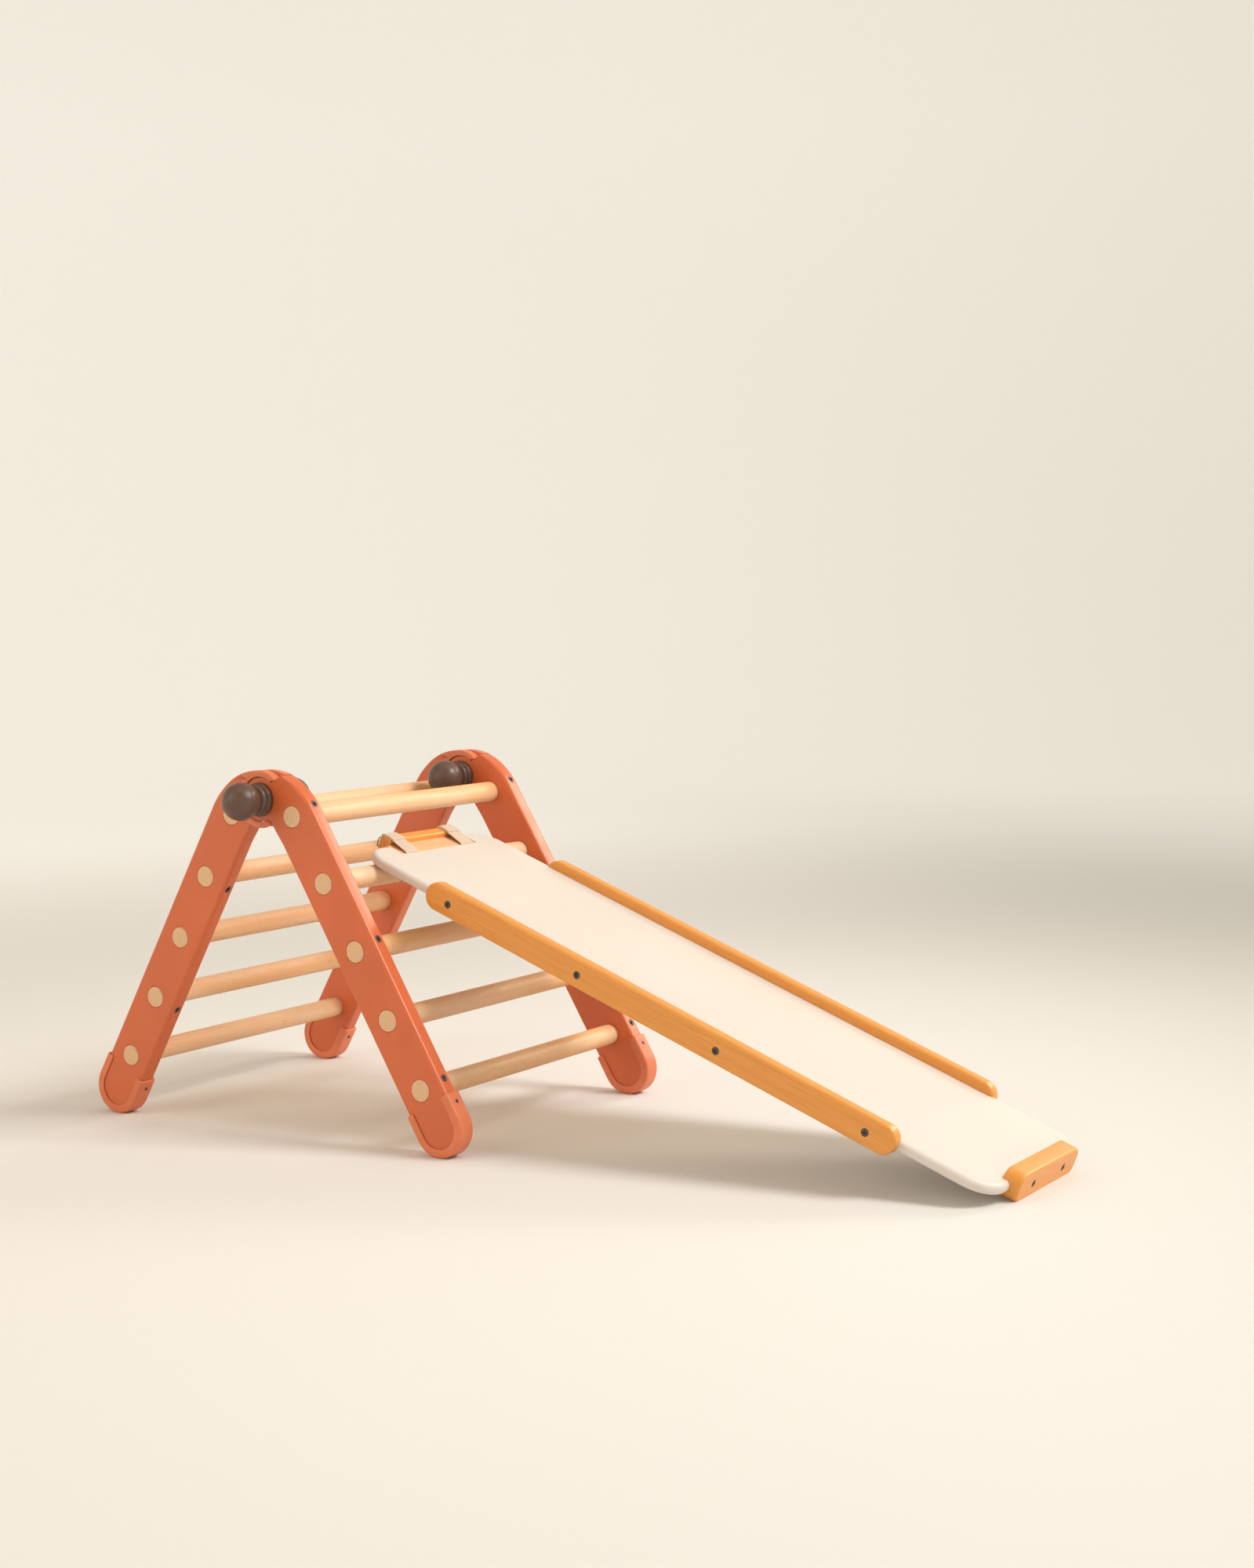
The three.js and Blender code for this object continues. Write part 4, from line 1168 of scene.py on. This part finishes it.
def strap_path(thick):
    """Middle line of the strap in x and z: arcs round the slit's edge, the bar's two upper corners, its lower
    corner and the rung, each joined to the next by the line that touches both."""
    grow = thick / 2
    round_bar = BAR_CORNER + CLEARANCE + grow
    left, right = BAR_BACK + BAR_CORNER, BAR_FRONT - BAR_CORNER
    low, top = BAR_LOW + BAR_CORNER, BAR_TOP - BAR_CORNER
    turns = [(SLIT - 2, PLATE_TOP, 2 + grow), (right, top, round_bar), (left, top, round_bar),
             (left, low, round_bar), (0, 0, SEAT_RADIUS + grow)]
    normals = []
    for (px, pz, pr), (x, z, radius) in zip(turns, turns[1:]):
        angle = math.atan2(z - pz, x - px)
        normals.append(angle - math.acos((pr - radius) / math.hypot(x - px, z - pz)))
    parts = []
    for i, (x, z, radius) in enumerate(turns):
        begin = 0.0 if i == 0 else normals[i - 1]
        finish = normals[i] if i < len(normals) else math.acos((SLIT + grow) / radius)
        while finish < begin:
            finish += 2 * math.pi
        parts.append(arc(x, z, radius, math.degrees(begin), math.degrees(finish), 6))
    path = np.concatenate([parts[0]] + [np.concatenate([line(*a[-1], *b[0], 3)[1:-1], b])
                                        for a, b in zip(parts, parts[1:])])
    return distinct(path, closed=False)


def add_band(shell, path, y, width, thick, lift=0.0, wander=0.0):
    """A flat band along a path in x and z: an oval-edged section stands on the path's normals. Its measure,
    along and across in millimetres, is kept for the weave."""
    ahead = np.gradient(path, axis=0)
    ahead /= np.linalg.norm(ahead, axis=1)[:, None]
    normal = np.stack([ahead[:, 1], -ahead[:, 0]], -1)
    along = np.concatenate([[0], np.cumsum(np.linalg.norm(np.diff(path, axis=0), axis=1))])
    w, t = width / 2, thick / 2
    section = rounded([(-w, -t, t * 0.95), (w, -t, t * 0.95), (w, t, t * 0.95), (-w, t, t * 0.95)], 30)
    sway = wander * np.sin(along / 9.0)[:, None]
    height = section[None, :, 1] + lift
    x = path[:, :1] + normal[:, :1] * height
    z = path[:, 1:] + normal[:, 1:] * height
    across = y + section[None, :, 0] + sway + 0 * x
    rings = np.stack([x, across, z], -1)
    weave = np.stack([along[:, None] + 0 * x, section[None, :, 0] + 0 * x, 0 * x], -1)
    start = shell.count
    shell.add(rings, strips(len(path), len(section)), weave)
    last = start + (len(path) - 1) * len(section)
    shell.faces.append(list(range(start, start + len(section))))
    shell.faces.append(list(range(last, last + len(section))))


def buckle_wire(y, strap_width, strap_thick):
    """A closed ring of round wire behind the bar: circles that stand on the normals of a rounded oblong."""
    half = strap_width / 2 + 3 - WIRE_SPACE
    x = BAR_BACK - strap_thick - 0.6 - WIRE_SPACE
    top = BAR_TOP - BAR_CORNER - WIRE_SPACE
    low = top - BUCKLE_HEIGHT
    corner = 2.5
    middle = rounded([(y - half, low, corner), (y + half, low, corner),
                      (y + half, top, corner), (y - half, top, corner)], 12)
    side = inward(middle)
    a = np.linspace(0, 2 * math.pi, 14, endpoint=False)
    rings = np.stack([
        x + BUCKLE_WIRE * np.sin(a)[None, :] + 0 * side[:, :1],
        middle[:, :1] + BUCKLE_WIRE * np.cos(a)[None, :] * side[:, :1],
        middle[:, 1:] + BUCKLE_WIRE * np.cos(a)[None, :] * side[:, 1:]], -1)
    rings = np.concatenate([rings, rings[:1]])
    shell = Shell()
    shell.add(rings, strips(len(rings), len(a)))
    return shell


class TODDLER_OT_straps(BuildStep, bpy.types.Operator):
    """Build the webbing straps with the tabs doubled over the bar, and their wire buckles"""
    bl_idname = "toddler_slide.straps"
    bl_label = "Straps and buckles"

    def execute(self, context):
        sizes = context.scene.toddler_slide_sizes
        width, thick = sizes.strap_width / MM, sizes.strap_thick / MM
        path = strap_path(thick)
        over_bar = path[(path[:, 1] > BAR_TOP - 2) & (path[:, 0] < BAR_FRONT + 5)]
        for place, way in (("near", -1), ("far", 1)):
            y = way * STRAP_AT
            strap = Shell()
            add_band(strap, path, y, width, thick, wander=0.25)
            add_band(strap, over_bar, y, width - 1.5, thick, lift=thick + 0.1)
            strap.placed(slide_axes(), HOOK_RUNG)
            name = f"strap_{place}"
            finish_piece(f"{name}_woven", mesh_of(name, strap), FINISHES["webbing"], "slide",
                         [name], 60)
            buckle = buckle_wire(y, width, thick).placed(slide_axes(), HOOK_RUNG)
            name = f"strap_buckle_{place}"
            finish_piece(f"{name}_wire", mesh_of(name, buckle), FINISHES["buckle"], "slide",
                         [name], 60)
        return {"FINISHED"}


FLOOR_FLAT = 6.5       # metres from the middle to where the floor starts to turn up
FLOOR_BEND = 3.5       # radius of that curve
WALL_TOP = 6.0
CAMERA_PLACE = (1.9153, -2.8208, 0.7759)
CAMERA_YAW = math.radians(32.915)
CAMERA_PITCH = math.radians(4.343)
CAMERA_ROLL = math.radians(-1.085)
LENS = 52.77


def floor_mesh():
    """A round floor that turns up all round in a quarter circle, as rings about z."""
    a = np.linspace(0, 2 * math.pi, 128, endpoint=False)
    bend = np.radians(np.linspace(0, 90, 32))[1:]
    flat = np.concatenate([[0.0], np.linspace(1, FLOOR_FLAT, 12)])
    radius = np.concatenate([flat, FLOOR_FLAT + FLOOR_BEND * np.sin(bend), [FLOOR_FLAT + FLOOR_BEND]])
    height = np.concatenate([0 * flat, FLOOR_BEND * (1 - np.cos(bend)), [WALL_TOP]])
    rings = np.stack([np.outer(radius, np.cos(a)), np.outer(radius, np.sin(a)),
                      np.outer(height, np.ones(len(a)))], -1)
    mesh = bpy.data.meshes.new("backdrop")
    mesh.from_pydata(rings.reshape(-1, 3), [], strips(len(radius), len(a))[:, ::-1].tolist())
    bm = bmesh.new()
    bm.from_mesh(mesh)
    bmesh.ops.remove_doubles(bm, verts=bm.verts, dist=1e-6)
    bm.to_mesh(mesh)
    bm.free()
    mesh.shade_smooth()
    return mesh


def seamless_paper():
    """Pale paper, greyer behind the object on the right as painted shade where the key light falls off, that
    glows a little away from the middle as painted light.
    """
    # behind is painted shade: a greyer paper colour where the key light falls off on the floor behind the
    # object on the right
    near, behind, far = (0.775, 0.775, 0.765, 1), (0.50, 0.495, 0.470, 1), (0.75, 0.765, 0.765, 1)
    finish = Finish("seamless_paper", 0.9, specular=0.1)
    away = finish.node("ShaderNodeVectorMath", {0: finish.place}, operation="LENGTH").outputs["Value"]
    sides = finish.node("ShaderNodeSeparateXYZ", {0: finish.place})
    shade_reach_back_right = finish.math("ADD", finish.math("MULTIPLY", sides.outputs["X"], 0.75),
                             finish.math("MULTIPLY", sides.outputs["Y"], 0.65))
    # painted shade: the paper darkens towards the back right
    base = finish.blend(finish.ramp(shade_reach_back_right, 0.1, 2.2), near, behind)
    base = finish.blend(finish.ramp(away, 3.0, 7.0), base, far)
    # painted light: the paper itself glows, brighter away from the middle and weaker to the right, lighting
    # the backdrop and the object like a studio surround
    finish.shader.inputs["Emission Color"].default_value = (1.0, 0.970, 0.905, 1)
    painted_glow = finish.math("MULTIPLY", finish.ramp(away, 1.5, 5.0, 0.0, 0.325),
                       finish.ramp(sides.outputs["X"], -6.0, 1.0, 1.0, 0.74))
    finish.tree.links.new(painted_glow, finish.shader.inputs["Emission Strength"])
    return finish.done(base)


def build_floor(scene):
    mesh = floor_mesh()
    mesh.materials.append(seamless_paper())
    floor = bpy.data.objects.new("backdrop", mesh)
    floor.visible_shadow = False
    scene.collection.objects.link(floor)


def build_lights(scene):
    """Square soft lights (name, place, aim, size, power, spread in degrees, tint) and a warm surround."""
    lights = (
        ("key", (4.6, 1.22, 4.87), (0.0, 0.0, 0.2), 2.2, 102, 110, (1.0, 0.99, 0.985)),
        ("fill", (-2.2, -4.2, 2.6), (0.0, 0.0, 0.2), 3.2, 47, 180, (1.0, 0.87, 0.71)),
        ("rim", (1.5, 3.6, 2.3), (0.0, 0.0, 0.3), 1.5, 7.5, 60, (1.0, 0.88, 0.70)),
        ("top", (0.4, 0.4, 4.6), (0.0, 0.0, 0.0), 3.0, 12, 180, (1.0, 0.97, 0.94)),
    )
    for name, place, aim, size, power, spread, tint in lights:
        data = bpy.data.lights.new(name, "AREA")
        data.shape = "SQUARE"
        data.size = size
        data.spread = math.radians(spread)
        data.energy = power
        data.color = tint
        lamp = bpy.data.objects.new(name, data)
        lamp.location = place
        lamp.rotation_euler = (Vector(aim) - Vector(place)).to_track_quat("-Z", "Y").to_euler()
        lamp.visible_camera = False
        scene.collection.objects.link(lamp)
    world = bpy.data.worlds.new("studio")
    world.use_nodes = True
    sky = world.node_tree.nodes["Background"]
    sky.inputs["Color"].default_value = (1.0, 0.83, 0.62, 1)
    sky.inputs["Strength"].default_value = 0.56
    scene.world = world
    scene.view_settings.view_transform = "Standard"


def build_camera(scene):
    """A camera at its yaw and pitch, whose right and up are then turned about the view by its roll."""
    level = math.cos(CAMERA_PITCH)
    ahead = Vector((-math.sin(CAMERA_YAW) * level, math.cos(CAMERA_YAW) * level, -math.sin(CAMERA_PITCH)))
    right = Vector((math.cos(CAMERA_YAW), math.sin(CAMERA_YAW), 0))
    up = right.cross(ahead)
    rolled_right = math.cos(CAMERA_ROLL) * right + math.sin(CAMERA_ROLL) * up
    rolled_up = -math.sin(CAMERA_ROLL) * right + math.cos(CAMERA_ROLL) * up
    data = bpy.data.cameras.new("camera")
    data.sensor_width = 36.0
    data.lens = LENS
    data.clip_end = 100.0
    camera = bpy.data.objects.new("camera", data)
    turn = Matrix((rolled_right, rolled_up, -ahead)).transposed().to_4x4()
    camera.matrix_world = Matrix.Translation(CAMERA_PLACE) @ turn
    scene.collection.objects.link(camera)
    scene.camera = camera


class TODDLER_OT_stage(BuildStep, bpy.types.Operator):
    """Build the plain floor, the soft lights and the camera"""
    bl_idname = "toddler_slide.stage"
    bl_label = "Stage"

    def execute(self, context):
        build_floor(context.scene)
        build_lights(context.scene)
        build_camera(context.scene)
        return {"FINISHED"}


STEPS = (
    TODDLER_OT_finishes, TODDLER_OT_rails, TODDLER_OT_rungs, TODDLER_OT_hoods, TODDLER_OT_foot_caps,
    TODDLER_OT_rung_screws, TODDLER_OT_knobs, TODDLER_OT_board, TODDLER_OT_sides, TODDLER_OT_toe_bar,
    TODDLER_OT_hook, TODDLER_OT_straps, TODDLER_OT_stage,
)


class TODDLER_PT_panel(bpy.types.Panel):
    """Lists the steps that build the toddler slide"""
    bl_idname = "TODDLER_PT_panel"
    bl_label = "Toddler slide"
    bl_space_type = "VIEW_3D"
    bl_region_type = "UI"
    bl_category = "Toddler slide"

    def draw(self, context):
        for group in ("toddler_ladder", "toddler_slide_sizes", "toddler_colours"):
            holder = getattr(context.scene, group)
            box = self.layout.box()
            for key in holder.__annotations__:
                box.prop(holder, key)
        for step in STEPS:
            self.layout.operator(step.bl_idname)


CLASSES = (LadderSizes, SlideSizes, FinishColours) + STEPS + (TODDLER_PT_panel,)


def register():
    for item in CLASSES:
        bpy.utils.register_class(item)
    bpy.types.Scene.toddler_ladder = bpy.props.PointerProperty(type=LadderSizes)
    bpy.types.Scene.toddler_slide_sizes = bpy.props.PointerProperty(type=SlideSizes)
    bpy.types.Scene.toddler_colours = bpy.props.PointerProperty(type=FinishColours)


def unregister():
    del bpy.types.Scene.toddler_colours
    del bpy.types.Scene.toddler_slide_sizes
    del bpy.types.Scene.toddler_ladder
    for item in reversed(CLASSES):
        bpy.utils.unregister_class(item)


def main():
    """Registers the add-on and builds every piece.
    """
    register()
    for step in STEPS:
        group, name = step.bl_idname.split(".")
        if "FINISHED" not in getattr(getattr(bpy.ops, group), name)():
            raise RuntimeError(f"{step.bl_label} was not built")
    for name in ("hinge_bolt_near", "hinge_bolt_far"):
        materials = frame["nodes"][name].data.materials
        materials.clear()
        materials.append(FINISHES["screw"])


if __name__ == "__main__":
    main()
